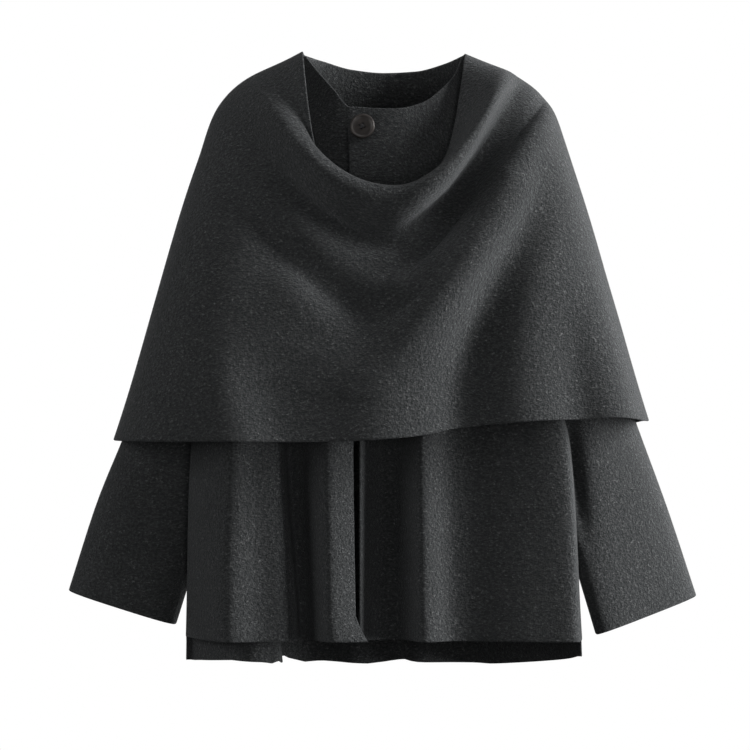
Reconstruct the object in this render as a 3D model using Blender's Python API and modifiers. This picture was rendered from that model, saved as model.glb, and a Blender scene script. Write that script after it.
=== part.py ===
"""A short wool coat with a draped shoulder cape, in the shape that it takes when it is filled out.

For Blender 4.5, in metres with +Z up. The coat faces -Y and the wearer's right is at -X. The origin is the
middle of the neck opening, level with the two neck points, where the wearer holds the coat up. Every cut piece
of cloth is a thin wall: a grid of points on the middle of the cloth, worked out from the tables below, with a
skin on each side. The tables are in millimetres. "out" is a distance from the middle of the body, and "down" is
a distance below the neck points.
"""

from collections import namedtuple

import bpy
import numpy as np
from mathutils import Matrix

MM = 0.001
CLOTH = 2.5  # thickness of the brushed wool cloth
SEAM_GAP = 0.3  # left open between two pieces that are sewn together
MITRE_LIMIT = 0.55  # the least cosine between a seam's plane and a piece's own normal that still thickens its rim
SHARP_ANGLE = 50.0  # degrees; the corners of a wall's rim are sharper than this
FINE = 240  # points on a working line before it is spaced evenly
RIGHT, LEFT = -1, 1  # the wearer's sides, as the sign of x

# ---------------------------------------------------------------------------------------------- the shoulder cape

# The shoulder seam of the cape, from the neck point over the shoulder and down the arm to the hem.
CapeSeam = namedtuple("CapeSeam", "down out")
CAPE_SEAM = (
    CapeSeam(0, 90),
    CapeSeam(11, 115),
    CapeSeam(21, 139),
    CapeSeam(31, 157),
    CapeSeam(44, 173),
    CapeSeam(66, 189),
    CapeSeam(119, 207),
    CapeSeam(164, 222),
    CapeSeam(276, 254),
    CapeSeam(388, 286),
    CapeSeam(434, 301),
)
CAPE_SEAM_Y = (8, 5)  # at the neck point and at the hem

# One row for each line that hangs from shoulder seam to shoulder seam across the front of the cape, from its
# cut upper edge down to its hem. The line leaves the seams at seam_r and seam_l, and is lowest at low_x and
# low_down. front_r, front_m and front_l are its y on the wearer's right, in the middle and on the left. fall_r
# and fall_l shape its two arms: 1 is a straight one, 2 a round one. plan is the roundness seen from above: 2 is
# an ellipse and more is squarer. steps is the number of grid rows down to the next line.
CapeLine = namedtuple(
    "CapeLine",
    "name seam_r seam_l low_x low_down front_r front_m front_l fall_r fall_l plan_r plan_l steps",
)
CAPE_FRONT = (
    CapeLine("cut edge", 0, 0, -10, 168, -112, -108, -108, 5.5, 5.5, 5.0, 2.6, 2),
    CapeLine("inside of the cowl", 8, 7, 4, 166, -114, -120, -116, 3.4, 3.8, 3.4, 2.7, 1),
    CapeLine("cowl rim", 19, 17, 16, 152, -132, -136, -141, 2.3, 2.4, 2.4, 2.8, 1),
    CapeLine("swell of the rim", 25, 22, 12, 168, -146, -141, -150, 2.2, 1.9, 2.3, 2.8, 2),
    CapeLine("foot of the rim", 33, 29, 4, 199, -123, -112, -94, 1.95, 1.4, 2.4, 2.2, 2),
    CapeLine("first valley", 55, 40, 46, 229, -109, -109, -104, 1.9, 1.2, 2.4, 2.3, 2),
    CapeLine("second swag", 80, 50, 14, 261, -120, -123, -124, 1.75, 1.5, 2.4, 2.3, 2),
    CapeLine("second valley", 106, 57, 5, 294, -114, -114, -136, 1.7, 1.5, 2.7, 2.7, 2),
    CapeLine("third swag", 130, 68, 0, 326, -122, -123, -140, 1.6, 1.4, 3.0, 3.0, 3),
    CapeLine("belly", 250, 222, 6, 378, -131, -128, -132, 1.2, 1.0, 3.6, 3.6, 4),
    CapeLine("hem", 432, 411, 18, 432, -136, -134, -136, 1.0, 0.6, 3.8, 3.8, 0),
)
# How much higher the cape's front hem is than a plain fall between its seams, at distances across the body.
HemLift = namedtuple("HemLift", "across up")
CAPE_HEM_LIFT = (
    HemLift(-310, 0),
    HemLift(-60, 0),
    HemLift(1, 2),
    HemLift(53, 8),
    HemLift(78, 13),
    HemLift(105, 13),
    HemLift(149, 12),
    HemLift(193, 11),
    HemLift(237, 9),
    HemLift(270, 4),
    HemLift(300, 0),
    HemLift(310, 0),
)
CAPE_FRONT_COLUMNS = 44
LOW_POINT_ROUND = 0.2  # how much of each line's width its lowest point is rounded over
MIDDLE_SHARE = 0.6  # how much of each line's width it takes to pass from front_m to front_r or front_l
SEAM_CROWDING = 1.5  # above 1, the fine points of a line lie closer together at its seam, where it turns most

# The same for the back. It hangs from the shoulder seams and has no folds but its flare.
BackLine = namedtuple("BackLine", "seam low_down back_y fall plan")
CAPE_BACK = (
    BackLine(0, 21, 75, 2.0, 2.2),
    BackLine(44, 75, 96, 2.0, 2.3),
    BackLine(119, 155, 114, 2.0, 2.4),
    BackLine(276, 300, 132, 2.0, 2.6),
    BackLine(434, 440, 146, 7.0, 2.8),
)
CAPE_BACK_COLUMNS = 20
CAPE_EDGE_RISE = 1.0  # the cape's back neck edge stands this much above the coat's

# Creases: ridges, or troughs where push is below 0, that run along a path of points on the cape. left and right
# are how far a crease spreads to either hand of somebody who walks along it, as the cloth is seen from the front.
CreasePoint = namedtuple("CreasePoint", "across down push left right")
CAPE_FRONT_CREASES = {
    "fold at the foot of the cowl": (
        CreasePoint(-8, 204, 0, 12, 10),
        CreasePoint(14, 190, 6, 14, 9),
        CreasePoint(38, 170, 8, 14, 9),
        CreasePoint(62, 150, 7, 14, 9),
        CreasePoint(92, 116, 4, 13, 9),
        CreasePoint(124, 74, 0, 12, 9),
    ),
    "long ridge from the right hem to the shoulder": (
        CreasePoint(-4, 450, 11, 60, 48),
        CreasePoint(4, 365, 14, 55, 46),
        CreasePoint(24, 320, 16, 45, 42),
        CreasePoint(46, 275, 17, 34, 36),
        CreasePoint(64, 242, 16, 26, 32),
        CreasePoint(96, 186, 14, 20, 26),
        CreasePoint(132, 141, 14, 17, 20),
        CreasePoint(158, 96, 8, 15, 17),
        CreasePoint(174, 60, 0, 12, 16),
    ),
    "trough below the long ridge": (
        CreasePoint(82, 450, -15, 30, 44),
        CreasePoint(86, 365, -17, 30, 44),
        CreasePoint(97, 320, -19, 28, 40),
        CreasePoint(116, 275, -18, 25, 34),
        CreasePoint(134, 242, -16, 21, 27),
        CreasePoint(157, 200, -12, 17, 22),
        CreasePoint(174, 160, -6, 14, 18),
        CreasePoint(186, 125, 0, 12, 16),
    ),
    "ridge over the left forearm": (
        CreasePoint(160, 450, 2, 30, 28),
        CreasePoint(158, 365, 1, 28, 26),
        CreasePoint(166, 300, 0, 26, 24),
    ),
    "outer trough": (
        CreasePoint(220, 450, -11, 30, 36),
        CreasePoint(212, 380, -9, 28, 32),
        CreasePoint(204, 310, -4, 26, 24),
        CreasePoint(206, 260, 0, 22, 20),
    ),
    "outer ridge": (
        CreasePoint(262, 450, 10, 26, 22),
        CreasePoint(249, 380, 9, 25, 20),
        CreasePoint(236, 310, 5, 22, 18),
        CreasePoint(224, 250, 0, 20, 16),
    ),
    "ridge over the right forearm": (
        CreasePoint(-150, 450, 6, 40, 30),
        CreasePoint(-176, 365, 5, 40, 28),
        CreasePoint(-184, 300, 0, 36, 28),
    ),
    "hollow of the lap": (
        CreasePoint(-104, 450, -5, 34, 70),
        CreasePoint(-116, 380, -7, 34, 76),
        CreasePoint(-100, 330, 0, 34, 60),
    ),
    "patch under the second swag": (
        CreasePoint(-112, 236, 0, 20, 22),
        CreasePoint(-92, 268, 4, 24, 24),
        CreasePoint(-68, 294, 4, 26, 24),
        CreasePoint(-36, 312, 0, 24, 24),
    ),
}
CAPE_BACK_CREASES = {
    "middle back flare": (
        CreasePoint(-8, 450, 10, 48, 48),
        CreasePoint(-3, 300, 5, 44, 44),
        CreasePoint(0, 150, 0, 40, 40),
    ),
    "right back trough": (
        CreasePoint(-118, 450, -10, 34, 34),
        CreasePoint(-108, 300, -5, 34, 34),
        CreasePoint(-96, 150, 0, 34, 34),
    ),
    "right back flare": (
        CreasePoint(-205, 450, 9, 34, 34),
        CreasePoint(-188, 310, 4, 34, 34),
        CreasePoint(-170, 170, 0, 34, 34),
    ),
    "left back trough": (
        CreasePoint(112, 450, -9, 34, 34),
        CreasePoint(102, 300, -5, 34, 34),
        CreasePoint(92, 150, 0, 34, 34),
    ),
    "left back flare": (
        CreasePoint(198, 450, 9, 34, 34),
        CreasePoint(182, 310, 4, 34, 34),
        CreasePoint(165, 170, 0, 34, 34),
    ),
}

# ------------------------------------------------------------------------------------------------------ the coat

# The two lines of each sleeve, seen from the front: the outer one and the underarm one. Each row is one ring
# of the sleeve, and half_depth is half its thickness from front to back. y_out and y_in place its two lines in
# depth. square shapes the ring: 1 is an ellipse and less is squarer.
Ring = namedtuple("Ring", "out down in_out in_down half_depth y_out y_in square")
SLEEVE_RIGHT = (
    Ring(168, 53, 139, 213, 59, 1, 1, 1.0),
    Ring(180, 72, 148, 213, 60, 2, 2, 1.0),
    Ring(191, 99, 155, 219, 60, 4, 4, 1.0),
    Ring(202, 132, 161, 238, 60, 6, 6, 1.0),
    Ring(221, 205, 165, 283, 57, 12, 10, 0.95),
    Ring(246, 290, 169, 338, 52, 18, 12, 0.9),
    Ring(277, 390, 180, 425, 45, 25, 13, 0.85),
    Ring(294, 434, 188, 472, 43, 26, 11, 0.8),
    Ring(321, 500, 203, 536, 41, 27, 9, 0.75),
    Ring(354, 602, 234, 638, 38, 28, 2, 0.7),
)
SLEEVE_LEFT = (
    Ring(168, 53, 139, 213, 59, 1, 1, 1.0),
    Ring(180, 72, 148, 213, 60, 2, 2, 1.0),
    Ring(191, 99, 155, 219, 60, 4, 4, 1.0),
    Ring(202, 132, 161, 238, 60, 6, 6, 1.0),
    Ring(221, 205, 165, 283, 57, 16, 8, 0.95),
    Ring(246, 290, 169, 338, 50, 22, 2, 0.9),
    Ring(275, 390, 180, 425, 39, 30, -8, 0.92),
    Ring(289, 428, 188, 472, 36, 36, -12, 0.92),
    Ring(318, 506, 206, 542, 34, 43, -15, 0.8),
    Ring(352, 609, 237, 648, 29, 42, -20, 0.65),
)
ARMHOLE_STEPS = 10  # grid rows from the shoulder tip to the underarm, on the front and on the back
SLEEVE_ROWS = 14
SLEEVE_CROWDING = 1.35  # above 1, the rings lie closer together near the armhole
FRONT_REACH, BACK_REACH = 0.6, 0.4  # the share of a panel's width over which its armhole still shapes it

# The neck line of each front, from its neck point to the corner where its centre edge starts, and the back's.
NeckPoint = namedtuple("NeckPoint", "x y down")
NECK_RIGHT_FRONT = (
    NeckPoint(-87, 8, 2.8),
    NeckPoint(-74, -24, 21),
    NeckPoint(-56, -50, 43),
    NeckPoint(-36, -60, 65),
    NeckPoint(-8, -66, 71),
    NeckPoint(20, -65, 69),
)
NECK_LEFT_FRONT = (
    NeckPoint(87, 8, 2.8),
    NeckPoint(80, -17, 22),
    NeckPoint(64, -43, 42),
    NeckPoint(40, -65, 60),
    NeckPoint(10, -78, 67),
    NeckPoint(-40, -70, 64),
)
NECK_BACK = (
    NeckPoint(-87, 8, 2.8),
    NeckPoint(-66, 45, 6),
    NeckPoint(-35, 66, 13),
    NeckPoint(0, 72, 16),
    NeckPoint(35, 66, 15),
    NeckPoint(66, 45, 9),
    NeckPoint(87, 8, 2.8),
)

# The plain sections of the body, above the folds: the side seam, the centre edge of each front, and the middle
# of the back. round_f and round_b shape the quarter sections: 1 is an ellipse and less is squarer.
Section = namedtuple(
    "Section", "down side_x side_y edge_r_x edge_r_y edge_l_x edge_l_y back_y round_f round_b"
)
CHEST = Section(213, 139, 0, 2, -89, -37, -97, 97, 0.85, 0.85)
RIBS = Section(300, 148, -36, -22, -95, -31, -108, 106, 0.9, 0.75)

# One row for each fold of a front, from the side seam to the centre edge: where it stands at the waist and at
# the hem.
Fold = namedtuple("Fold", "name waist_x waist_y hem_x hem_y")
FOLDS_RIGHT_FRONT = (
    Fold("side seam", -212, -52, -220, -20),
    Fold("side turn", -198, -78, -206, -58),
    Fold("flank", -182, -96, -188, -88),
    Fold("wide ridge", -165, -111, -168, -111),
    Fold("ridge slope", -142, -101, -140, -101),
    Fold("sharp edge", -114, -89, -102, -87),
    Fold("tuck", -110, -72, -98, -70),
    Fold("deep valley", -100, -62, -92, -58),
    Fold("valley side", -88, -70, -81, -67),
    Fold("second rise", -76, -92, -70, -92),
    Fold("second ridge", -63, -109, -59, -111),
    Fold("ridge slope end", -48, -104, -44, -106),
    Fold("centre edge", -34, -97, -31, -98),
)
FOLDS_LEFT_FRONT = (
    Fold("side seam", 204, -50, 219, -25),
    Fold("side turn", 201, -82, 216, -84),
    Fold("flank", 200, -108, 211, -108),
    Fold("broad bulge", 174, -106, 186, -105),
    Fold("bulge middle", 146, -100, 152, -101),
    Fold("bulge end", 118, -94, 122, -94),
    Fold("shallow valley", 90, -88, 94, -87),
    Fold("ridge side", 72, -89, 77, -88),
    Fold("ridge far side", 56, -98, 60, -99),
    Fold("tall ridge", 39, -107, 42, -109),
    Fold("steep side", 27, -86, 31, -86),
    Fold("deep valley", 14, -62, 16, -60),
    Fold("valley side", 0, -63, 0, -60),
    Fold("rise", -15, -80, -16, -75),
    Fold("centre edge", -27, -96, -27, -95),
)
# The back panel folds forward behind the fronts at the sides, close behind their cloth, then turns back and runs
# round behind the body. From the wearer's right seam to the left one.
FOLDS_BACK = (
    Fold("right side seam", -212, -52, -220, -20),
    Fold("right crest", -205, -47, -213, -15),
    Fold("right side turn", -190, -69, -196, -48),
    Fold("right flank", -169, -85, -172, -77),
    Fold("right front ridge", -152, -90, -146, -96),
    Fold("right turn", -148, -62, -114, -88),
    Fold("right side front", -147, -22, -119, -36),
    Fold("right side", -147, 30, -134, 22),
    Fold("right corner", -122, 79, -122, 80),
    Fold("right back ridge", -76, 101, -84, 112),
    Fold("right back valley", -36, 98, -40, 92),
    Fold("middle back ridge", 0, 106, 0, 108),
    Fold("left back valley", 38, 98, 42, 92),
    Fold("left back ridge", 78, 101, 86, 112),
    Fold("left corner", 122, 79, 124, 86),
    Fold("left side", 146, 30, 150, 64),
    Fold("left side front", 147, -22, 174, 42),
    Fold("left turn", 149, -62, 191, 22),
    Fold("left front ridge", 160, -88, 202, 4),
    Fold("left flank", 177, -83, 209, -8),
    Fold("left side turn", 190, -66, 213, -14),
    Fold("left crest", 198, -45, 215, -18),
    Fold("left side seam", 204, -50, 219, -25),
)
WAIST_DOWN = 432
FRONT_HEM_DOWN = 651
BACK_HEM_DOWN = 673
BACK_HEM_SAG = 17  # the back hem hangs this much lower in the middle
TAIL_RUN_ON = 0.3  # the share of the last row's change that goes on below the front hem
FRONT_COLUMNS = 18
SHOULDER_COLUMNS = 6  # of them, the columns that start on the shoulder seam
BACK_COLUMNS = 36
BODY_STEPS = (3, 4, 4)  # grid rows from chest to ribs, ribs to waist and waist to hem

# ---------------------------------------------------------------------------------------------------- the button

BUTTON_DIAMETER = 28.0
# The turned profile, from the middle of the face over the rim to the edge of the underside.
ButtonPoint = namedtuple("ButtonPoint", "name in_from_edge height")
BUTTON_PROFILE = (
    ButtonPoint("middle of the dish", 14.0, 3.1),
    ButtonPoint("edge of the dish", 4.0, 3.1),
    ButtonPoint("foot of the rim", 3.0, 4.0),
    ButtonPoint("top of the rim", 1.5, 4.2),
    ButtonPoint("shoulder", 0.6, 3.6),
    ButtonPoint("widest line", 0.0, 2.1),
    ButtonPoint("lower edge", 0.8, 0.5),
    ButtonPoint("edge of the underside", 2.5, 0.0),
    ButtonPoint("middle of the underside", 14.0, 0.0),
)
BUTTON_HOLE = 2.4
BUTTON_HOLES = 4
BUTTON_HOLE_SIDES = 12
BUTTON_CUTTER_LENGTH = 12.0
BUTTON_HOLE_SPREAD = 3.0  # from the button's middle to a hole's middle
BUTTON_SIDES = 32
BUTTON_X, BUTTON_DOWN = -23.5, 87.0
BUTTON_TURN = -12.0  # degrees that the holes are turned

CHARCOAL = (0.019, 0.021, 0.022, 1.0)
HORN_BROWN = (0.075, 0.055, 0.045, 1.0)


# ------------------------------------------------------------------------------------------------- working lines


def smooth(stations, values, at):
    """A smooth curve through values given at stations, read at other stations. It never swings past a value."""
    stations, values, at = (np.asarray(a, float) for a in (stations, values, at))
    step = np.diff(stations).reshape((-1,) + (1,) * (values.ndim - 1))
    slope = np.diff(values, axis=0) / step
    before, after = slope[:-1], slope[1:]
    heavy, light = 2 * step[1:] + step[:-1], step[1:] + 2 * step[:-1]
    bends_on = before * after > 0
    safe_before, safe_after = np.where(bends_on, before, 1), np.where(bends_on, after, 1)
    inner = np.where(bends_on, (heavy + light) / (heavy / safe_before + light / safe_after), 0)
    tangent = np.concatenate([slope[:1], inner, slope[-1:]])
    index = np.clip(np.searchsorted(stations, at, side="right") - 1, 0, len(stations) - 2)
    width = step[index]
    t = (at - stations[index]).reshape((-1,) + (1,) * (values.ndim - 1)) / width
    return (
        (1 + 2 * t) * (1 - t) ** 2 * values[index]
        + t * (1 - t) ** 2 * width * tangent[index]
        + t * t * (3 - 2 * t) * values[index + 1]
        - t * t * (1 - t) * width * tangent[index + 1]
    )


def evenly(points, count):
    """The same curve with count + 1 points, evenly spaced along it."""
    gone = np.concatenate([[0], np.cumsum(np.linalg.norm(np.diff(points, axis=0), axis=1))])
    at = np.linspace(0, gone[-1], count + 1)
    return np.stack([np.interp(at, gone, axis) for axis in points.T], axis=1)


def unit(vectors):
    return vectors / np.linalg.norm(vectors, axis=-1, keepdims=True)


def stations_of(steps):
    """Where the grid rows lie between table rows 0, 1, 2..., with a number of steps from each to the next."""
    parts = [i + np.arange(n) / n for i, n in enumerate(steps)]
    return np.concatenate(parts + [[len(steps)]])


# ---------------------------------------------------------------------------------------------- pieces of cloth


def crease_lift(places, crease):
    """How far a crease lifts each place. places is an array of (across, down)."""
    path = np.array(crease, float)
    best = np.full(places.shape[:-1], np.inf)
    lift = np.zeros(places.shape[:-1])
    for start, end in zip(path, path[1:]):
        along = end[:2] - start[:2]
        way = places - start[:2]
        share = (way @ along / (along @ along)).clip(0, 1)
        off = way - share[..., None] * along
        away = np.linalg.norm(off, axis=-1)
        on_right = along[0] * off[..., 1] - along[1] * off[..., 0] > 0
        push, left, right = (start[i] + share * (end[i] - start[i]) for i in (2, 3, 4))
        spread = np.where(on_right, right, left)
        nearer = away < best
        best = np.where(nearer, away, best)
        lift = np.where(nearer, push * np.exp(-((away / spread) ** 2)), lift)
    return lift


class Cloth:
    """The middle surface of one cut piece: a grid of points, its normals and half its thickness at each.

    Seen from the piece's outer side, columns run from left to right and rows run down."""

    def __init__(self, grid, closed=False):
        self.grid = grid
        self.closed = closed
        if closed:  # a tube, whose last column goes on to its first
            wide = np.concatenate([grid[:, -1:], grid, grid[:, :1]], axis=1)
            across = np.gradient(wide, axis=1)[:, 1:-1]
        else:
            across = np.gradient(grid, axis=1)
        self.normals = unit(np.cross(np.gradient(grid, axis=0), across))
        self.half = np.full(grid.shape[:2], CLOTH / 2)

    def meet(self, edge, inside, shared):
        """Ends this piece on a seam: its rim takes the seam's shared normals and keeps half the gap.

        edge picks the points on the seam and inside the points next to them."""
        lean = np.clip((self.normals[edge] * shared).sum(axis=-1), MITRE_LIMIT, 1)
        self.normals[edge] = shared
        self.half[edge] = CLOTH / 2 / lean
        towards = unit(self.grid[inside] - self.grid[edge])
        self.grid[edge] += towards * (SEAM_GAP / 2 / lean)[..., None]

    def press(self, creases):
        """Raises the ridges and sinks the troughs along the normals."""
        places = np.stack([self.grid[..., 0], -self.grid[..., 2]], axis=-1)
        lift = sum(crease_lift(places, crease) for crease in creases.values())
        self.grid = self.grid + self.normals * lift[..., None]
        self.normals = Cloth(self.grid).normals

    def wall(self, name, material):
        """The solid: two skins either side of the grid, and a rim round its edges."""
        rows, columns = self.grid.shape[:2]
        offset = self.normals * self.half[..., None]
        points = np.concatenate([(self.grid + offset).reshape(-1, 3), (self.grid - offset).reshape(-1, 3)])
        inner = rows * columns
        spans = columns if self.closed else columns - 1
        faces = []
        for r in range(rows - 1):
            for c in range(spans):
                a, b = r * columns + c, r * columns + (c + 1) % columns
                faces.append((a, a + columns, b + columns, b))
                faces.append((a + inner, b + inner, b + columns + inner, a + columns + inner))
        top = [c % columns for c in range(spans + 1)]
        bottom = [(rows - 1) * columns + c for c in reversed(top)]
        rims = [top, bottom]
        if not self.closed:
            down = [r * columns for r in range(rows)]
            rims += [down[::-1], [r + columns - 1 for r in down]]
        for a, b in (pair for rim in rims for pair in zip(rim, rim[1:])):
            falling = np.linalg.norm(points[a] - points[b + inner])
            rising = np.linalg.norm(points[b] - points[a + inner])
            if falling < rising:  # the shorter diagonal, which is the same on both sides of a seam
                faces += [(a, b, b + inner), (a, b + inner, a + inner)]
            else:
                faces += [(a, b, a + inner), (b, b + inner, a + inner)]
        mesh = bpy.data.meshes.new(name)
        mesh.from_pydata((points * MM).tolist(), [], faces)
        mesh.shade_smooth()
        mesh.set_sharp_from_angle(angle=np.radians(SHARP_ANGLE))
        return add(name, mesh, material)


def sew(first, second):
    """Two edges that meet end on the plane that halves the angle between them. Each is (cloth, edge, inside)."""
    shared = unit(first[0].normals[first[1]] + second[0].normals[second[1]])
    for cloth, edge, inside in (first, second):
        cloth.meet(edge, inside, shared)


# ------------------------------------------------------------------------------------------------------ the cape


def cape_seam(down, side):
    rows = np.array(CAPE_SEAM, float)
    out = smooth(rows[:, 0], rows[:, 1], down)
    y = np.interp(down, (0, rows[-1, 0]), CAPE_SEAM_Y)
    return np.stack([side * out, y, -np.asarray(down, float)], axis=-1)


def rounded_power(share, power):
    """share ** power, but level at 0 whatever the power, so that two arms join without a corner."""
    lifted = (share**2 + LOW_POINT_ROUND**2) ** (power / 2) - LOW_POINT_ROUND**power
    return lifted / ((1 + LOW_POINT_ROUND**2) ** (power / 2) - LOW_POINT_ROUND**power)


def arm_of_line(seam, low, side_y, fall, plan, count):
    """Half of one hanging line, from the shoulder seam at seam to its lowest point at low."""
    angle = np.linspace(0, 1, FINE) ** SEAM_CROWDING * np.pi / 2
    share = np.cos(angle)  # 1 at the seam and 0 at the lowest point
    ease = np.clip(share / MIDDLE_SHARE, 0, 1)
    ease = ease * ease * (3 - 2 * ease)
    front = low[1] + (side_y - low[1]) * ease
    x = low[0] + (seam[0] - low[0]) * share
    y = seam[1] + (front - seam[1]) * (1 - share**plan) ** (1 / plan)
    z = low[2] + (seam[2] - low[2]) * rounded_power(share, fall)
    return evenly(np.stack([x, y, z], axis=1), count)


def cape_line(seam_r, seam_l, low, front_r, front_l, fall_r, fall_l, plan_r, plan_l, columns):
    half = columns // 2
    right = arm_of_line(cape_seam(seam_r, RIGHT)[0], low, front_r, fall_r, plan_r, half)
    left = arm_of_line(cape_seam(seam_l, LEFT)[0], low, front_l, fall_l, plan_l, half)
    return np.concatenate([right, left[-2::-1]])


def neck_seat(ends):
    """The neck edge of the cape's back, just outside the coat's back neck line, between its two seams."""
    line = neck_line(NECK_BACK, CAPE_BACK_COLUMNS)
    along = np.gradient(line, axis=0)
    outward = unit(np.stack([-along[:, 1], along[:, 0], np.zeros(len(line))], axis=1))
    seat = (line + outward * (CLOTH + SEAM_GAP) + (0, 0, CAPE_EDGE_RISE))[::-1]
    seat[0], seat[-1] = ends[0], ends[-1]
    return seat


def lift_hem(grid, rows):
    """Raises the hem of the cape's front, and its last rows with it by less and less."""
    table = np.array(CAPE_HEM_LIFT, float)
    share = np.linspace(0, 1, rows + 1)[:, None] ** 2
    grid[-rows - 1 :, :, 2] += share * smooth(table[:, 0], table[:, 1], grid[-1, :, 0])
    return grid


def make_cape():
    table = np.array([line[1:] for line in CAPE_FRONT], float)
    steps = [line.steps for line in CAPE_FRONT[:-1]]
    rows = smooth(np.arange(len(table)), table, stations_of(steps))
    front, back = [], []
    back_table = np.array(CAPE_BACK, float)
    for row in rows:
        seam_r, seam_l, low_x, low_down, front_r, front_m, front_l, fall_r, fall_l, plan_r, plan_l, _ = row
        low = np.array([low_x, front_m, -low_down])
        seams = np.array([seam_r]), np.array([seam_l])
        front.append(cape_line(*seams, low, front_r, front_l, fall_r, fall_l, plan_r, plan_l, CAPE_FRONT_COLUMNS))
        middle = (seam_r + seam_l) / 2
        low_down, back_y, fall, plan = smooth(back_table[:, 0], back_table[:, 1:], np.array([middle]))[0]
        low = np.array([0, back_y, -low_down])
        line = cape_line(*seams, low, back_y, back_y, fall, fall, plan, plan, CAPE_BACK_COLUMNS)
        back.append(line[::-1])
    back[0] = neck_seat(back[0])
    front = lift_hem(np.array(front), steps[-1])
    front, back = Cloth(front), Cloth(np.array(back))
    front.press(CAPE_FRONT_CREASES)
    back.press(CAPE_BACK_CREASES)
    every = slice(None)
    sew((front, (every, 0), (every, 1)), (back, (every, -1), (every, -2)))
    sew((front, (every, -1), (every, -2)), (back, (every, 0), (every, 1)))
    return front, back


# ------------------------------------------------------------------------------------------------------ the coat


def sleeve_ring(ring, side, angles):
    """One ring of a sleeve. Angle 0 is its outer line, 90 degrees its front and 180 its underarm line."""
    out_x, out_down, in_x, in_down, half_depth, y_out, y_in, square = ring
    out = np.array([side * out_x, y_out, -out_down])
    under = np.array([side * in_x, y_in, -in_down])
    middle, across = (out + under) / 2, (out - under) / 2
    forward = np.array([0, -half_depth, 0])
    round_way, deep_way = (np.sign(way) * np.abs(way) ** square for way in (np.cos(angles), np.sin(angles)))
    return middle + round_way[:, None] * across + deep_way[:, None] * forward


def armhole(side, angles):
    return sleeve_ring(SLEEVE_RIGHT[0], side, angles)


FRONT_ANGLES = np.linspace(0, np.pi, ARMHOLE_STEPS + 1)
BACK_ANGLES = -FRONT_ANGLES


def make_sleeve(table, side):
    """A tube from the armhole to the cuff. Its columns go round so that they match both body panels."""
    angles = np.linspace(0, 2 * np.pi, 2 * ARMHOLE_STEPS, endpoint=False)
    stations = np.linspace(0, 1, SLEEVE_ROWS + 1) ** SLEEVE_CROWDING * (len(table) - 1)
    rings = smooth(np.arange(len(table)), np.array(table, float), stations)
    grid = np.array([sleeve_ring(ring, side, angles) for ring in rings])
    if side == LEFT:  # so that its columns run from left to right on the outside too
        grid = np.roll(grid[:, ::-1], 1, axis=1)
    return Cloth(grid, closed=True)


def quarter(side, edge, roundness, count):
    """A plain quarter section from the side seam to the centre, in x and y."""
    angle = np.linspace(0, np.pi / 2, FINE)
    x = edge[0] + (side[0] - edge[0]) * np.cos(angle) ** roundness
    y = side[1] + (edge[1] - side[1]) * np.sin(angle) ** roundness
    return evenly(np.stack([x, y], axis=1), count)


def at_depth(line, down):
    return np.column_stack([line, np.full(len(line), -float(down))])


def neck_line(table, columns):
    points = np.array(table, float) * (1, 1, -1)
    dense = smooth(np.arange(len(points)), points, np.linspace(0, len(points) - 1, FINE))
    return evenly(dense, columns)


def hang(top, bottom, reach, left, right=None):
    """A surface from a top line straight down to a bottom line, drawn out at its ends to meet the side lines.

    reach is the share of the width over which a side line still shows."""
    v = np.linspace(0, 1, len(left))[:, None, None]
    grid = (1 - v) * top[None] + v * bottom[None]
    u = np.linspace(0, 1, len(top))[None, :, None]
    for line, column, away in ((left, 0, u), (right, -1, 1 - u)):
        if line is not None:
            grid = grid + (line - grid[:, column])[:, None] * np.clip(1 - away / reach, 0, 1) ** 2
    return grid


def fold_line(folds, level, columns):
    """The section through the folds at the waist or the hem, as x and y."""
    points = np.array([fold[1 + 2 * level : 3 + 2 * level] for fold in folds], float)
    return smooth(np.arange(len(points)), points, np.linspace(0, len(points) - 1, columns + 1))


def loft_down(levels, below_chest):
    """Rows from the chest down through the lower sections, leaving out the chest's own row."""
    stations = stations_of(BODY_STEPS)[1:]
    rows = smooth(np.arange(len(levels)), np.array(levels), stations)
    return np.concatenate([below_chest, rows])


def make_front(side, folds, neck, edge_at):
    """One front panel, with columns from its side seam to its centre edge."""
    shoulder_tip = armhole(side, FRONT_ANGLES)[0]
    neck_point = np.array(neck[0], float) * (1, 1, -1)
    shoulder = np.linspace(shoulder_tip, neck_point, SHOULDER_COLUMNS + 1)
    top = np.concatenate([shoulder[:-1], neck_line(neck, FRONT_COLUMNS - SHOULDER_COLUMNS)])
    chest_side = (side * CHEST.side_x, armhole(side, FRONT_ANGLES)[-1][1])
    chest = at_depth(quarter(chest_side, edge_at(CHEST), CHEST.round_f, FRONT_COLUMNS), CHEST.down)
    ribs_side = (side * RIBS.side_x, RIBS.side_y)
    ribs = at_depth(quarter(ribs_side, edge_at(RIBS), RIBS.round_f, FRONT_COLUMNS), RIBS.down)
    waist = at_depth(fold_line(folds, 0, FRONT_COLUMNS), WAIST_DOWN)
    hem = at_depth(fold_line(folds, 1, FRONT_COLUMNS), FRONT_HEM_DOWN)
    upper = hang(top, chest, FRONT_REACH, armhole(side, FRONT_ANGLES))
    return loft_down([chest, ribs, waist, hem], upper)


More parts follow.
